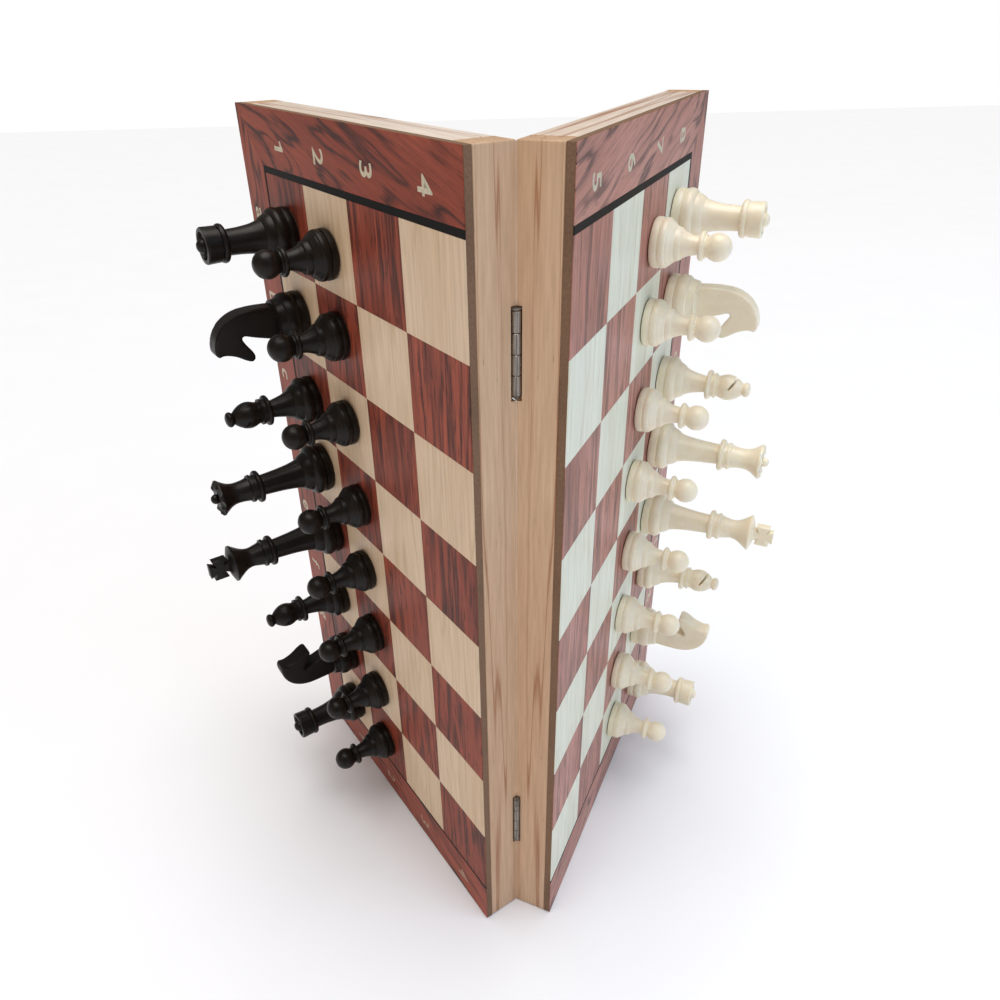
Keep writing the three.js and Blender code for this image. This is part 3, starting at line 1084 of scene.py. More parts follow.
@dataclass
class PlayingFace:
    """One half's veneers, stringing, border and printed marks."""

    half: Half
    seed: int
    top_string: float = 2.3
    outer_string: float = 1.65
    bottom_string: float = 1.4
    seam: float = 0.05
    near: float = 0.03
    mark_high: float = 10.2
    mark_lift: float = 0.03
    top_mark_drop: float = 11.0
    low_mark_rise: float = 8.5
    length: float = field(init=False)
    far: float = field(init=False)

    def __post_init__(self) -> None:
        """Take the face's outline from its CAD node."""
        low, high = self.half.span(f"{self.half.side.word}_board_veneer")
        self.length = high.z
        self.far = max(abs(low.x), abs(high.x))

    def square_is_dark(self, rank_index: int, file_index: int) -> bool:
        """Tell whether a square is dark.

        Args:
            rank_index: 0 next to the spine, up to 3 at the outer edge.
            file_index: 0 for file a at the top, up to 7.

        Returns:
            True on a dark square.
        """
        rank = 4 - rank_index if self.half.side is Side.LEFT else 5 + rank_index
        return (rank + file_index) % 2 == 1

    def tag(self, obj: Object, rng: random.Random) -> Object:
        """Give a sheet its own offset in the veneer's pattern.

        Args:
            obj: the sheet.
            rng: the seeded source of offsets.

        Returns:
            The sheet.
        """
        attribute = obj.data.attributes.new("sheet", "FLOAT_VECTOR", "POINT")
        offset = [rng.uniform(-400, 400) for _ in range(3)]
        for item in attribute.data:
            item.vector = offset
        return obj

    def squares(self) -> None:
        """Lay the light and the dark squares."""
        rng = random.Random(self.seed)
        groups: dict[bool, list[Object]] = {False: [], True: []}
        for rank_index in range(RANKS_PER_HALF):
            for file_index in range(len(FILES)):
                near = self.near if rank_index == 0 else FIELD_NEAR + SQUARE * rank_index
                far = FIELD_NEAR + SQUARE * (rank_index + 1)
                top = FIELD_BOTTOM + SQUARE * (len(FILES) - file_index)
                corners = self.half.box_of((near, far), (SHEET_BOTTOM, FACE_TOP), (top - SQUARE, top))
                sheet = self.tag(box("square", corners, self.seam, 1), rng)
                groups[self.square_is_dark(rank_index, file_index)].append(sheet)
        side = self.half.side.word
        # Each half's squares take that half's copies of maple and rosewood, whose colours are painted light and
        # shade.
        light = join(f"{side}_light_squares", groups[False])
        self.lay(light, MAPLE_PAINTED_LIGHT_BY_HALF[self.half.side].material(self.half))
        dark = join(f"{side}_dark_squares", groups[True])
        self.lay(dark, ROSEWOOD_PAINTED_LIGHT_BY_HALF[self.half.side].material(self.half))

    def lay(self, obj: Object, material: Material) -> None:
        """Finish a piece of the face.

        Args:
            obj: the piece.
            material: its material.
        """
        nodes = [f"{self.half.side.word}_board_veneer"]
        finish_piece(obj, material, self.half.matrix(), self.half.body(), nodes)

    def mitre(
        self, obj: Object, corner: tuple[float, float], inner: tuple[float, float], keep: tuple[float, float]
    ) -> None:
        """Cut a strip along the line from a face's corner to the stringing's corner.

        Args:
            obj: the strip.
            corner: distance from the spine and height of the face's corner.
            inner: the same for the stringing's corner.
            keep: a point of the strip that stays.
        """
        side = self.half.side.value
        a, b = Vector((side * corner[0], 0, corner[1])), Vector((side * inner[0], 0, inner[1]))
        normal = (b - a).cross(Vector((0, 1, 0))).normalized()
        if (Vector((side * keep[0], 0, keep[1])) - a).dot(normal) > 0:
            normal.negate()
        activate(obj)
        bpy.ops.object.mode_set(mode="EDIT")
        bpy.ops.mesh.select_all(action="SELECT")
        bpy.ops.mesh.bisect(plane_co=a, plane_no=normal, use_fill=True, clear_outer=True, clear_inner=False)
        bpy.ops.object.mode_set(mode="OBJECT")

    def border(self) -> None:
        """Lay the border's three strips, mitred at the outer corners, and the stringing."""
        edge_u = FIELD_NEAR + SQUARE * RANKS_PER_HALF
        edge_top = FIELD_BOTTOM + SQUARE * len(FILES)
        u, top, low = edge_u + self.outer_string, edge_top + self.top_string, FIELD_BOTTOM - self.bottom_string
        n = (SHEET_BOTTOM, FACE_TOP)
        rng = random.Random(self.seed + 7)
        upper_corner, upper_inner = (self.far, self.length), (u, top)
        lower_corner, lower_inner = (self.far, 0.0), (u, low)
        strips = {
            "top": (((self.near, self.far), (top, self.length)), Grain.OBLIQUE, (self.near, self.length)),
            "outer": (((u, self.far), (0.0, self.length)), Grain.UPRIGHT, (self.far, self.length / 2)),
            "bottom": (((self.near, self.far), (0.0, low)), Grain.OBLIQUE, (self.near, 0.0)),
        }
        for word, ((across, height), grain, keep) in strips.items():
            strip = box(f"{self.half.side.word}_{word}_border", self.half.box_of(across, n, height))
            if word != "bottom":
                self.mitre(strip, upper_corner, upper_inner, keep)
            if word != "top":
                self.mitre(strip, lower_corner, lower_inner, keep)
            apply_modifier(
                strip, "BEVEL", width=0.09, segments=2, limit_method="ANGLE", angle_limit=math.radians(30)
            )
            self.tag(strip, rng)
            # The border strips keep their half's rosewood colours, so they carry the same painted light and shade
            # as the dark squares.
            figure = replace(
                ROSEWOOD_PAINTED_LIGHT_BY_HALF[self.half.side], name=f"rosewood_border_{word}", grain=grain, figure_mm=(13.0, 75.0),
                figure_lines=3.6, line_width=0.18, line_share=1.0, ragged=0.3, fade_mm=(14.0, 45.0),
                fleck_mm=(1.1, 6.0), fleck_from=0.62, fleck_share=0.5, fibre_dark="#B8AAA6"
            )
            self.lay(strip, figure.material(self.half))
        lines = [
            box("string", self.half.box_of((self.near, u), n, (edge_top, top)), 0.04, 1),
            box("string", self.half.box_of((edge_u, u), n, (FIELD_BOTTOM, edge_top)), 0.04, 1),
            box("string", self.half.box_of((self.near, u), n, (low, FIELD_BOTTOM)), 0.04, 1),
        ]
        self.lay(join(f"{self.half.side.word}_stringing", lines), STRINGING.material(self.half))

    def mark(
        self, text: str, u: float, z: float, size: float, stretch: float = 1.08, stem: float | None = None
    ) -> Object:
        """Print one mark, turned a quarter clockwise.

        Args:
            text: the character.
            u: the distance of its middle from the spine.
            z: its middle's height.
            size: the letter size.
            stretch: how much wider than usual it is.
            stem: the distance of its baseline from the spine, or None to centre it.

        Returns:
            The mark as a mesh.
        """
        obj = self.flagged_one(size) if text == "1" else self.letter(text, size)
        low = Vector(min(v.co[i] for v in obj.data.vertices) for i in range(3))
        high = Vector(max(v.co[i] for v in obj.data.vertices) for i in range(3))
        middle = (low + high) / 2
        side = self.half.side.value
        if stem is not None:
            middle.y = 0.0
        shift = Matrix.Translation(
            (side * (u if stem is None else stem), FACE_TOP + self.mark_lift / 2 + 0.004, z)
        )
        turn = Matrix(((0, -1, 0, 0), (0, 0, 1, 0), (-1, 0, 0, 0), (0, 0, 0, 1)))
        obj.data.transform(shift @ turn @ Matrix.Diagonal((stretch, 1, 1, 1)) @ Matrix.Translation(-middle))
        return obj

    def letter(self, text: str, size: float) -> Object:
        """Cut a character from the built-in font.

        Args:
            text: the character.
            size: the letter size.

        Returns:
            The character as a thin mesh.
        """
        deselect_all()
        bpy.ops.object.text_add()
        obj = bpy.context.object
        obj.data.body = text
        obj.data.size = size
        obj.data.offset = 0.012 * size
        obj.data.extrude = self.mark_lift / 2
        bpy.ops.object.convert(target="MESH")
        return adopt("mark")

    def flagged_one(self, size: float) -> Object:
        """Cut a 1 with a flag, which the built-in font's bare stroke lacks.

        Args:
            size: the letter size.

        Returns:
            The figure as a thin mesh.
        """
        outline = (
            (0.24, 0.0), (0.37, 0.0), (0.37, 0.69), (0.27, 0.69), (0.2, 0.61), (0.08, 0.56), (0.08, 0.45),
            (0.24, 0.49)
        )
        obj = draw_line("mark", [Vector((x * size, y * size, -self.mark_lift / 2)) for x, y in outline])
        bpy.ops.mesh.select_all(action="SELECT")
        bpy.ops.mesh.edge_face_add()
        bpy.ops.mesh.extrude_region_move(TRANSFORM_OT_translate={"value": (0, 0, self.mark_lift)})
        heal(obj)
        return obj

    def marks(self) -> None:
        """Print the numbers along the top and bottom and the letters along the outer border."""
        left = self.half.side is Side.LEFT
        places = {
            "1": 113.4, "2": 81.7, "3": 49.9, "4": 17.8
        } if left else {"5": 16.3, "6": 48.3, "7": 80.1, "8": 111.7}
        side = self.half.side.word
        numbers = [
            self.mark(text, u, self.length - self.top_mark_drop, self.mark_high) for text, u in places.items()
        ]
        self.lay(join(f"{side}_numbers", numbers), MARK_INK.material(self.half))
        low = [self.mark(text, u, self.low_mark_rise, self.mark_high * 0.92) for text, u in places.items()]
        self.lay(join(f"{side}_low_numbers", low), FAINT_INK.material(self.half))
        stem = self.far - 4.7 if left else self.far - 12.4
        letters = []
        for index, text in enumerate(FILES):
            z = FIELD_BOTTOM + SQUARE * (len(FILES) - index - 0.5)
            letters.append(self.mark(text, 0.0, z, 11.0, 1.0, stem))
        self.lay(join(f"{side}_letters", letters), MARK_INK.material(self.half))

    def build(self) -> None:
        """Lay the whole face."""
        self.squares()
        self.border()
        self.marks()


# ---------------------------------------------------------------- hinges and clasp


@dataclass
class Hinge:
    """A small barrel hinge with rolled knuckles, two leaves and a headed pin."""

    place: str
    halves: dict[Side, Half]
    knuckles: int = 4
    wall: float = 0.68
    gap: float = 0.12
    nail_radius: float = 1.05

    def knuckle(self, radius: float, low: float, high: float, seam_degrees: float) -> Object:
        """Make one rolled knuckle with its seam.

        Args:
            radius: its outer radius.
            low: its lower end.
            high: its upper end.
            seam_degrees: where its seam lies about the pin.

        Returns:
            The object.
        """
        inner = radius - self.wall
        ease = 0.12
        profile = [
            (low, inner), (low, radius - ease), (low + ease, radius), (high - ease, radius),
            (high, radius - ease), (high, inner), (low, inner)
        ]
        obj = turned("knuckle", profile, 48)
        seam = math.radians(seam_degrees)
        out = Vector((math.cos(seam), math.sin(seam), 0)) * radius
        return combine(
            obj, rod("seam", 0.13, out + Vector((0, 0, low - 1)), out + Vector((0, 0, high + 1)), 10)
        )

    def leaf(self, side: Side, metal: Material) -> None:
        """Make one leaf with its knuckles and nails.

        Args:
            side: the half it is nailed to.
            metal: its material.
        """
        half = self.halves[side]
        node = f"{self.place}_hinge_{side.word}_leaf"
        low, high = half.span(node)
        radius, reach = high.y, max(abs(low.x), abs(high.x))
        pitch = (high.z - low.z) / self.knuckles
        own = (0, 2) if side is Side.LEFT else (1, 3)
        parts = []
        plate = box("plate", half.box_of((1.9, reach), (0.15, 0.95), (low.z, high.z)), 0.1, 2)
        for index in own:
            bottom = low.z + pitch * index + (self.gap / 2 if index else 0.0)
            top = low.z + pitch * (index + 1) - (self.gap / 2 if index < self.knuckles - 1 else 0.0)
            parts.append(self.knuckle(radius, bottom, top, 90 + side.value * 55))
            strap = half.box_of((radius * 0.8, 2.2), (0.15, 0.95), (bottom + 0.1, top - 0.1))
            parts.append(box("strap", strap, 0.08, 1))
        for z in (low.z + pitch, high.z - pitch):
            middle = Vector((side.value * (reach - 2.9), 0.15, z))
            head = turned(
                "nail",
                rounded(
                    [
                        (-0.3, 0.0), (-0.3, self.nail_radius, 1), (0.02, self.nail_radius, 1),
                        (0.07, self.nail_radius * 0.6), (0.08, 0.0)
                    ]
                ),
                24
            )
            head.data.transform(Matrix.Translation(middle) @ Matrix.Rotation(math.radians(90), 4, "X"))
            parts.append(head)
        obj = join(f"{node}_rolled", [plate, *parts])
        shade(obj)
        finish_piece(obj, metal, half.matrix(), half.body(), [node])

    def pin(self, metal: Material) -> None:
        """Make the pin, with its flared head and pointed tip.

        Args:
            metal: the pin's material.
        """
        half = self.halves[Side.LEFT]
        node = f"{self.place}_hinge_pin"
        low, high = half.span(node)
        head = high.x
        top = high.z
        profile = [
            (low.z, 0.0), (low.z + 0.1, 0.25), (low.z + 1.35, 1.42), (low.z + 1.5, 1.4), (low.z + 1.55, 0.72)
        ]
        profile += [
            (top - 1.0, 0.72), (top - 0.98, 1.3), (top - 0.55, head - 0.08), (top - 0.3, head),
            (top - 0.12, head - 0.12), (top - 0.02, head - 0.5), (top, 0.0)
        ]
        obj = turned(f"{node}_headed", profile, 48)
        shade(obj)
        finish_piece(obj, metal, half.matrix(), "left_half", [node])

    def build(self, leaf_metal: Material, pin_metal: Material) -> None:
        """Make both leaves and the pin.

        Args:
            leaf_metal: the leaves' material.
            pin_metal: the pin's material.
        """
        for side in Side:
            self.leaf(side, leaf_metal)
        self.pin(pin_metal)


@dataclass
class Clasp:
    """A small hook on the left outer rail and the stud it catches on the right."""

    halves: dict[Side, Half]
    slot_width: float = 0.5
    slot_depth: float = 0.45

    def screw(self, side: Side, node: str, metal: Material) -> None:
        """Make a slotted screw that stands out of an outer rail.

        Args:
            side: the half it is driven into.
            node: its CAD node.
            metal: its material.
        """
        half = self.halves[side]
        low, high = half.span(node)
        length, radius = high.x - low.x, (high.y - low.y) / 2
        profile = [
            (0.0, 0.0), (1.2, 0.75, 1), (1.4, 0.98, 1), (length - 0.9, 0.98, 1),
            (length - 0.9, radius - 0.12, 1), (length - 0.75, radius, 1), (length - 0.4, radius - 0.25),
            (length - 0.06, radius - 1.1), (length, 0.0)
        ]
        obj = turned(f"{node}_slotted", rounded(profile), 48)
        slot = Vector((radius + 1, self.slot_width / 2, 0))
        cutter = box(
            "slot",
            (Vector((-slot.x, -slot.y, length - self.slot_depth)), Vector((slot.x, slot.y, length + 1)))
        )
        cutter.data.transform(Matrix.Rotation(math.radians(28), 4, "Z"))
        combine(obj, cutter)
        start = low.x if side is Side.LEFT else high.x
        place = Matrix.Translation((start, (low.y + high.y) / 2, (low.z + high.z) / 2))
        obj.data.transform(place @ Matrix.Rotation(side.value * math.radians(90), 4, "Y"))
        shade(obj)
        finish_piece(obj, metal, half.matrix(), half.body(), [node])

    def hook(self, metal: Material) -> None:
        """Make the hook with eased edges from its CAD blank.

        Args:
            metal: the hook's material.
        """
        blank = copy_of(frame["nodes"]["clasp_hook"], "clasp_hook_stamped")
        blank.parent = None
        for key in list(blank.keys()):
            if key.startswith("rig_"):
                del blank[key]
        half = self.halves[Side.LEFT]
        blank.data.transform(half.matrix().inverted())
        heal(blank, 0.004)
        bpy.ops.object.mode_set(mode="EDIT")
        bpy.ops.mesh.select_all(action="SELECT")
        bpy.ops.mesh.dissolve_limited(angle_limit=math.radians(1.0))
        bpy.ops.object.mode_set(mode="OBJECT")
        apply_modifier(
            blank, "BEVEL", width=0.16, segments=2, limit_method="ANGLE", angle_limit=math.radians(50)
        )
        shade(blank)
        finish_piece(blank, metal, half.matrix(), "clasp_hook", ["clasp_hook"])

    def build(self, metal: Material) -> None:
        """Make the hook and its two screws.

        Args:
            metal: their material.
        """
        self.screw(Side.LEFT, "clasp_pivot_screw", metal)
        self.screw(Side.RIGHT, "clasp_stud", metal)
        self.hook(metal)


# ---------------------------------------------------------------- the men


@dataclass(frozen=True)
class Turning:
    """The turned part of a kind of man: heights and radii, with corners marked."""

    points: tuple[tuple, ...]
    foot: float


PAWN = Turning(
    (
        (0.0, 0.0), (0.0, 7.8, 1), (0.3, 8.15), (1.3, 8.3), (2.3, 8.2, 1), (2.5, 7.8, 1), (2.75, 7.8, 1),
        (2.95, 8.1, 1), (3.9, 8.2), (4.8, 7.95, 1), (5.0, 7.6, 1), (5.6, 7.3), (6.5, 6.5), (7.3, 5.9, 1),
        (7.5, 5.55, 1), (8.6, 5.35), (9.4, 4.9, 1), (9.6, 4.5, 1), (12.0, 3.45), (15.0, 2.9, 1),
        (15.15, 4.2, 1), (15.5, 4.65), (16.2, 4.75), (16.7, 4.5, 1), (16.85, 3.9, 1), (17.3, 3.8, 1),
        (17.45, 3.2, 1), (18.2, 3.55), (19.4, 4.25), (21.1, 4.55), (22.8, 4.2), (24.3, 3.2), (25.3, 1.6),
        (25.6, 0.0)
    ),
    8.3,
)
ROOK = Turning(
    (
        (0.0, 0.0), (0.0, 8.5, 1), (0.4, 8.9), (1.7, 9.1), (2.9, 8.95, 1), (3.1, 8.55, 1), (3.4, 8.55, 1),
        (3.6, 8.9, 1), (4.9, 9.2), (6.1, 9.0), (7.0, 8.3, 1), (7.3, 7.7, 1), (8.8, 7.2), (10.2, 6.3, 1),
        (10.4, 5.95, 1), (13.5, 5.05), (18.0, 4.5), (22.8, 4.3, 1), (23.1, 5.5, 1), (23.5, 6.2), (24.4, 6.5),
        (25.2, 6.2, 1), (25.4, 5.6, 1), (25.8, 5.6, 1), (26.0, 6.0, 1), (28.0, 6.05), (30.4, 6.15, 1),
        (30.8, 5.9, 1), (30.85, 4.7, 1), (29.8, 4.4, 1), (29.7, 2.6, 1), (30.8, 2.5), (31.9, 2.0),
        (32.6, 1.1), (32.8, 0.0)
    ),
    9.2,
)
KNIGHT = Turning(
    (
        (0.0, 0.0), (0.0, 8.6, 1), (0.4, 9.0), (1.7, 9.15), (3.0, 9.0, 1), (3.2, 8.6, 1), (3.5, 8.6, 1),
        (3.7, 8.9, 1), (5.1, 9.2), (6.6, 9.05), (7.8, 8.6, 1), (8.1, 8.0, 1), (9.4, 7.6), (10.6, 7.3, 1),
        (11.2, 6.6), (11.3, 0.0)
    ),
    9.2,
)
BISHOP = Turning(
    (
        (0.0, 0.0), (0.0, 8.5, 1), (0.4, 8.85), (1.7, 9.0), (2.8, 8.85, 1), (3.0, 8.45, 1), (3.3, 8.45, 1),
        (3.5, 8.8, 1), (4.7, 9.05), (5.8, 8.75), (6.6, 7.9, 1), (6.9, 7.3, 1), (8.3, 6.7), (9.6, 5.8, 1),
        (9.8, 5.4, 1), (12.6, 4.3), (16.2, 3.5), (18.2, 3.25, 1), (18.4, 5.2, 1), (18.8, 5.75), (19.6, 5.8),
        (20.1, 5.4, 1), (20.3, 4.6, 1), (21.0, 4.5, 1), (21.2, 4.9, 1), (22.0, 4.9, 1), (22.2, 4.1, 1),
        (23.4, 4.2), (25.0, 4.8), (26.8, 5.0), (28.8, 4.55), (30.7, 3.5), (32.2, 2.2, 1), (32.5, 2.35, 1),
        (33.3, 2.85), (34.3, 2.65), (35.0, 1.5), (35.2, 0.0)
    ),
    9.1,
)
# The queen and the king share their foot and stem.
ROYAL_STEM = (
    (0.0, 0.0), (0.0, 9.3, 1), (0.4, 9.7), (1.8, 9.9), (3.1, 9.75, 1), (3.3, 9.3, 1), (3.6, 9.3, 1),
    (3.8, 9.7, 1), (5.1, 10.0), (6.4, 9.6), (7.4, 8.6, 1), (7.7, 7.9, 1), (9.4, 7.2), (10.9, 6.3, 1),
    (11.1, 5.9, 1), (14.5, 5.15), (20.0, 4.5), (27.2, 4.05, 1), (27.4, 5.7, 1)
)
QUEEN = Turning(
    (
        *ROYAL_STEM, (27.8, 6.3), (28.8, 6.4), (29.3, 6.0, 1), (29.5, 5.1, 1), (30.7, 5.0, 1), (30.9, 5.5, 1),
        (31.9, 5.4, 1), (32.2, 4.7, 1), (34.4, 4.25), (37.6, 4.1), (40.0, 4.7), (42.2, 6.1), (43.4, 7.0, 1),
        (44.0, 7.0, 1), (44.9, 5.9, 1), (44.6, 3.8, 1), (44.4, 1.6, 1), (44.9, 1.85), (45.9, 1.75),
        (46.7, 1.0), (47.0, 0.0)
    ),
    10.0,
)
KING = Turning(
    (
        *ROYAL_STEM, (27.8, 6.2), (28.8, 6.3), (29.3, 6.0, 1), (29.5, 5.2, 1), (30.9, 5.1, 1), (31.1, 5.7, 1),
        (32.1, 5.6, 1), (32.4, 4.9, 1), (34.4, 4.4), (37.2, 3.95), (39.8, 4.6), (42.5, 6.3), (44.0, 7.4, 1),
        (44.7, 7.4, 1), (45.3, 5.9), (46.0, 3.8), (46.3, 0.0)
    ),
    10.0,
)


@dataclass
class Men:
    """Patterns of the six kinds of men, and the thirty-two men copied from them."""

    halves: dict[Side, Half]
    turnings: dict[Kind, Turning]
    felt_under: float = FACE_TOP + 0.03
    foot_level: float = 15.5
    slab: float = 7.0
    voxel: float = 0.42
    smoothing: int = 11
    scallops: int = 8
    scallop_radius: float = 2.3
    slot_place: tuple[float, float, float] = (0.6, 0.0, 27.2)
    slot_tilt: float = -36.0

    def knight_pattern(self) -> Object:
        """Make the knight: a turned foot with a flat, rounded horse's head.

        Returns:
            The pattern.
        """
        outline = rounded(
            [
                (-5.6, 8.5, 1), (-6.2, 15.0), (-6.2, 20.5), (-5.3, 25.6), (-2.8, 30.0), (0.8, 32.9),
                (4.6, 34.2),
                (7.2, 34.3), (8.6, 33.3, 1), (8.2, 31.9), (8.3, 30.4), (8.9, 28.4), (10.0, 26.2),
                (11.3, 24.2),
                (12.2, 22.4), (12.1, 21.0), (11.0, 20.3), (9.6, 20.5), (8.0, 21.4), (6.0, 22.8), (3.9, 23.9),
                (2.9, 23.9), (2.6, 23.0), (3.8, 19.5), (5.3, 14.2), (6.6, 8.5, 1),
            ],
            0.7,
        )
        head = draw_line("knight_head", [Vector((x, -self.slab / 2, h)) for x, h in outline])
        bpy.ops.mesh.select_all(action="SELECT")
        bpy.ops.mesh.edge_face_add()
        bpy.ops.mesh.extrude_region_move(TRANSFORM_OT_translate={"value": (0, self.slab, 0)})
        heal(head)
        apply_modifier(head, "REMESH", mode="VOXEL", voxel_size=self.voxel)
        apply_modifier(head, "SMOOTH", factor=0.5, iterations=self.smoothing)
        foot = turned("knight_foot", rounded(self.turnings[Kind.KNIGHT].points), 64)
        return combine(foot, head, "UNION")

    def cross(self) -> Object:
        """Make the king's cross pattee, with its arms widened outwards.

        Returns:
            The cross.
        """
        wide, tall, narrow, flare, thick = 4.4, 4.3, 1.5, 2.9, 3.5
        middle = 49.6
        corners = []
        for quarter in range(4):
            turn = Matrix.Rotation(math.radians(90 * quarter), 2)
            reach = wide if quarter % 2 == 0 else tall
            for x, y in ((narrow, -narrow), (reach, -flare), (reach, flare)):
                corners.append(turn @ Vector((x, y)))
        points = [Vector((p.x, -thick / 2, middle + p.y)) for p in corners]
        obj = draw_line("cross", points)
        bpy.ops.mesh.select_all(action="SELECT")
        bpy.ops.mesh.edge_face_add()
        bpy.ops.mesh.extrude_region_move(TRANSFORM_OT_translate={"value": (0, thick, 0)})
        heal(obj)
        apply_modifier(
            obj, "BEVEL", width=0.3, segments=2, limit_method="ANGLE", angle_limit=math.radians(30)
        )
        return obj

    def pattern(self, kind: Kind) -> Object:
        """Make one kind of man, upright on its foot.

        Args:
            kind: the kind of man.

        Returns:
            The pattern.
        """
        if kind is Kind.KNIGHT:
            obj = self.knight_pattern()
        else:
            obj = turned(f"{kind.value}_pattern", rounded(self.turnings[kind].points))
        if kind is Kind.BISHOP:
            blade = box("blade", (Vector((0.0, -8, -0.45)), Vector((9, 8, 0.45))))
            blade.data.transform(
                Matrix.Translation(self.slot_place) @ Matrix.Rotation(math.radians(self.slot_tilt), 4, "Y")
            )
            combine(obj, blade)
        if kind is Kind.KING:
            combine(obj, self.cross(), "UNION")
        if kind is Kind.QUEEN:
            for step in range(self.scallops):
                angle = math.tau * step / self.scallops
                out = Vector((math.cos(angle), math.sin(angle), 0))
                combine(
                    obj,
                    rod(
                        "scallop", self.scallop_radius, out * 4.0 + Vector((0, 0, 46.6)),
                        out * 9 + Vector((0, 0, 45.3)), 32
                    )
                )
        shade(obj, 38)
        return obj

    def heading(self, kind: Kind, name: str) -> int:
        """Tell which way a man faces on the standing board: 1 up or -1 down.

        Args:
            kind: the kind of man.
            name: its node's name.

        Returns:
            The sign of its forward direction along z.
        """
        if kind is Kind.KNIGHT:
            return -1 if "_b" in name[-4:] else 1
        if kind is Kind.BISHOP:
            return -1 if name.startswith("black") else 1
        return 1

    def place(self, kind: Kind, name: str, half: Half) -> Matrix:
        """Find a man's place from its CAD node.

        Args:
            kind: the kind of man.
            name: its node's name.
            half: the half it stands on.

        Returns:
            From the pattern's frame to the half's frame.
        """
        low, high = half.span(name)
        heading = self.heading(kind, name)
        middle = (low + high) / 2
        if kind is Kind.KNIGHT:
            foot = self.turnings[kind].foot
            middle.z = low.z + foot if heading == 1 else high.z - foot
        forward, up = Vector((0, 0, heading)), Vector((0, 1, 0))
        across = up.cross(forward)
        place = Matrix((forward, across, up)).transposed().to_4x4()
        place.translation = (middle.x, self.foot_level, middle.z)
        return place

    def build(self) -> None:
        """Copy every man from its pattern and glue a felt under its foot."""
        black, ivory = BLACK_PLASTIC.material(), IVORY_PLASTIC.material()
        felt = FOOT_FELT.material()
        patterns = {kind: self.pattern(kind) for kind in Kind}
        names = sorted(n for n in frame["nodes"] if n.startswith(("black_", "white_")))
        for name in names:
            colour, word, _ = name.split("_")
            kind = Kind(word)
            side = Side.LEFT if colour == "black" else Side.RIGHT
            half = self.halves[side]
            place = half.matrix() @ self.place(kind, name, half)
            body = next(b for b, members in frame["record"]["behaviour"]["bodies"].items() if name in members)
            man = copy_of(patterns[kind], f"{name}_moulded")
            finish_piece(man, black if side is Side.LEFT else ivory, place, body, [name])
            foot = self.turnings[kind].points[1][1] - 0.15
            under = self.felt_under - self.foot_level
            disc = turned(
                f"{name}_felt",
                [
                    (under, 0.0), (under, foot - 0.05), (under + 0.05, foot), (-0.05, foot),
                    (0.0, foot - 0.05), (0.0, 0.0)
                ],
                40
            )
            shade(disc)
            finish_piece(disc, felt, place, body, [name])
        for pattern in patterns.values():
            discard(pattern)


# ---------------------------------------------------------------- the studio


@dataclass(frozen=True)
class Softbox:
    """A square area light aimed at a point, in metres and watts."""

    name: str
    place: tuple[float, float, float]
    aim: tuple[float, float, float]
    size: float
    power: float
    colour: str

    def hang(self) -> None:
        """Hang the light."""
        light = bpy.data.lights.new(self.name, "AREA")
        light.shape, light.size, light.energy = "SQUARE", self.size, self.power
        light.color = linear(self.colour)[:3]
        obj = bpy.data.objects.new(self.name, light)
        obj.location = self.place
        obj.rotation_euler = (Vector(self.aim) - Vector(self.place)).to_track_quat("-Z", "Y").to_euler()
        bpy.context.scene.collection.objects.link(obj)


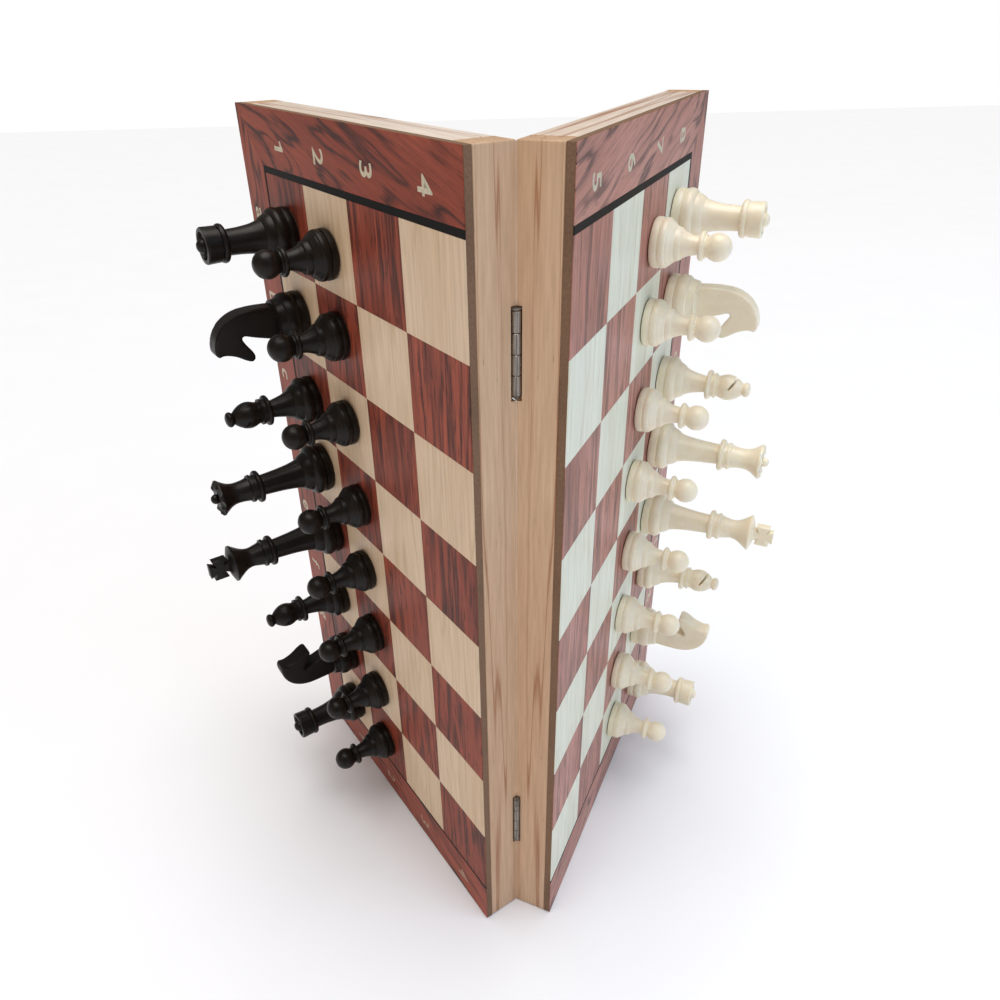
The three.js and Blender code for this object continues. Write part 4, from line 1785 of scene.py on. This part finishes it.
@dataclass
class Studio:
    """The floor, the lights, the sky and the camera, in metres."""

    hinge: Vector
    floor_size: float = 6.0
    floor_drop: float = 0.0004
    lens: float = 28.89
    lens_shift: tuple[float, float] = (0.0084, 0.0055)
    camera_from_hinge: tuple[float, float, float] = (-0.024144, -0.204752, 0.3226)
    camera_right: tuple[float, float, float] = (0.9957, -0.0912, -0.0162)
    camera_forward: tuple[float, float, float] = (0.0695, 0.8514, -0.5199)
    overhead: float = 2.65
    overhead_spread: float = 50.0
    room_light: float = 0.235
    softboxes: tuple[Softbox, ...] = (
        Softbox("key_cool_right", (0.9, -0.6, 0.75), (0.05, 0.0, 0.15), 0.9, 3.5, "#ABD2FF"),
        Softbox("fill_warm_left", (-0.85, -0.75, 0.45), (-0.05, 0.0, 0.15), 0.9, 1.15, "#FFC48C"),
    )

    def build(self) -> None:
        """Lay the floor, hang the lights and set the camera."""
        deselect_all()
        bpy.ops.mesh.primitive_plane_add(size=self.floor_size, location=(0, 0, 0))
        floor = adopt("studio_floor")
        bpy.ops.object.transform_apply(location=True, rotation=True, scale=True)
        bpy.ops.object.mode_set(mode="EDIT")
        bpy.ops.mesh.subdivide(number_cuts=3)
        bpy.ops.object.mode_set(mode="OBJECT")
        floor.data.transform(Matrix.Translation((0, 0, -self.floor_drop)))
        floor.data.materials.append(BACKDROP.material())
        for softbox in self.softboxes:
            softbox.hang()
        sky = bpy.data.lights.new("overhead_sky", "SUN")
        sky.energy, sky.angle, sky.color = self.overhead, math.radians(
            self.overhead_spread
        ), linear("#FFFBF5")[:3]
        bpy.context.scene.collection.objects.link(bpy.data.objects.new("overhead_sky", sky))
        world = bpy.data.worlds.new("pale_room")
        world.use_nodes = True
        tree = world.node_tree
        tree.nodes.clear()
        soft = add_node(tree, "Background", {"Color": linear("#FFFAF3"), "Strength": self.room_light})
        seen = add_node(tree, "Background", {"Color": linear("#FFFFFF"), "Strength": 1.0})
        path = add_node(tree, "LightPath")
        mixed = add_node(
            tree, "MixShader", None,
            {0: path.outputs["Is Camera Ray"], 1: soft.outputs[0], 2: seen.outputs[0]}
        )
        add_node(tree, "OutputWorld", None, {"Surface": mixed.outputs[0]})
        bpy.context.scene.world = world
        bpy.context.scene.view_settings.view_transform = "Standard"
        self.set_camera()

    def set_camera(self) -> None:
        """Stand the camera in front of the fold, above the upper hinge, looking down."""
        camera = bpy.data.cameras.new("view_camera")
        camera.lens = self.lens
        camera.sensor_width = 36.0
        camera.shift_x, camera.shift_y = self.lens_shift
        camera.clip_start, camera.clip_end = 0.01, 20.0
        obj = bpy.data.objects.new("view_camera", camera)
        bpy.context.scene.collection.objects.link(obj)
        right = Vector(self.camera_right).normalized()
        forward = Vector(self.camera_forward).normalized()
        up = right.cross(forward).normalized()
        right = forward.cross(up).normalized()
        turn = Matrix((right, up, -forward)).transposed().to_4x4()
        place = Vector((self.hinge.x, self.hinge.y, 0.0)) + Vector(self.camera_from_hinge)
        obj.matrix_world = Matrix.Translation(place) @ turn
        bpy.context.scene.camera = obj


def dress_sheets() -> None:
    """Give the steel sheets, which are shown as CAD made them, their finish."""
    steel = SHEET_STEEL.material()
    for side in Side:
        sheet = frame["nodes"][f"{side.word}_steel_sheet"]
        sheet.data.materials.clear()
        sheet.data.materials.append(steel)
        log.info("%s: %s", sheet.name, steel.name)


def main() -> None:
    """Build the board, the hinges, the clasp, the men and the studio, in that order."""
    logging.basicConfig(level=logging.INFO, format="%(message)s")
    fold = next(j for j in frame["joints"] if j["name"] == "fold")
    hinge, opened = Vector(fold["pos_m"]), -fold["range_deg"][0]
    halves = {side: Half(side, hinge, opened) for side in Side}
    for side, half in halves.items():
        Tray(half).build()
        PlayingFace(half, seed=41 if side is Side.LEFT else 73).build()
    dress_sheets()
    hinge_steel, pin_steel = HINGE_STEEL.material(), PIN_STEEL.material()
    for place in ("upper", "lower"):
        Hinge(place, halves).build(hinge_steel, pin_steel)
    Clasp(halves).build(PLATED_STEEL.material())
    turnings = {
        Kind.PAWN: PAWN, Kind.ROOK: ROOK, Kind.KNIGHT: KNIGHT, Kind.BISHOP: BISHOP, Kind.QUEEN: QUEEN,
        Kind.KING: KING
    }
    Men(halves, turnings).build()
    Studio(hinge).build()


if __name__ == "__main__":
    main()
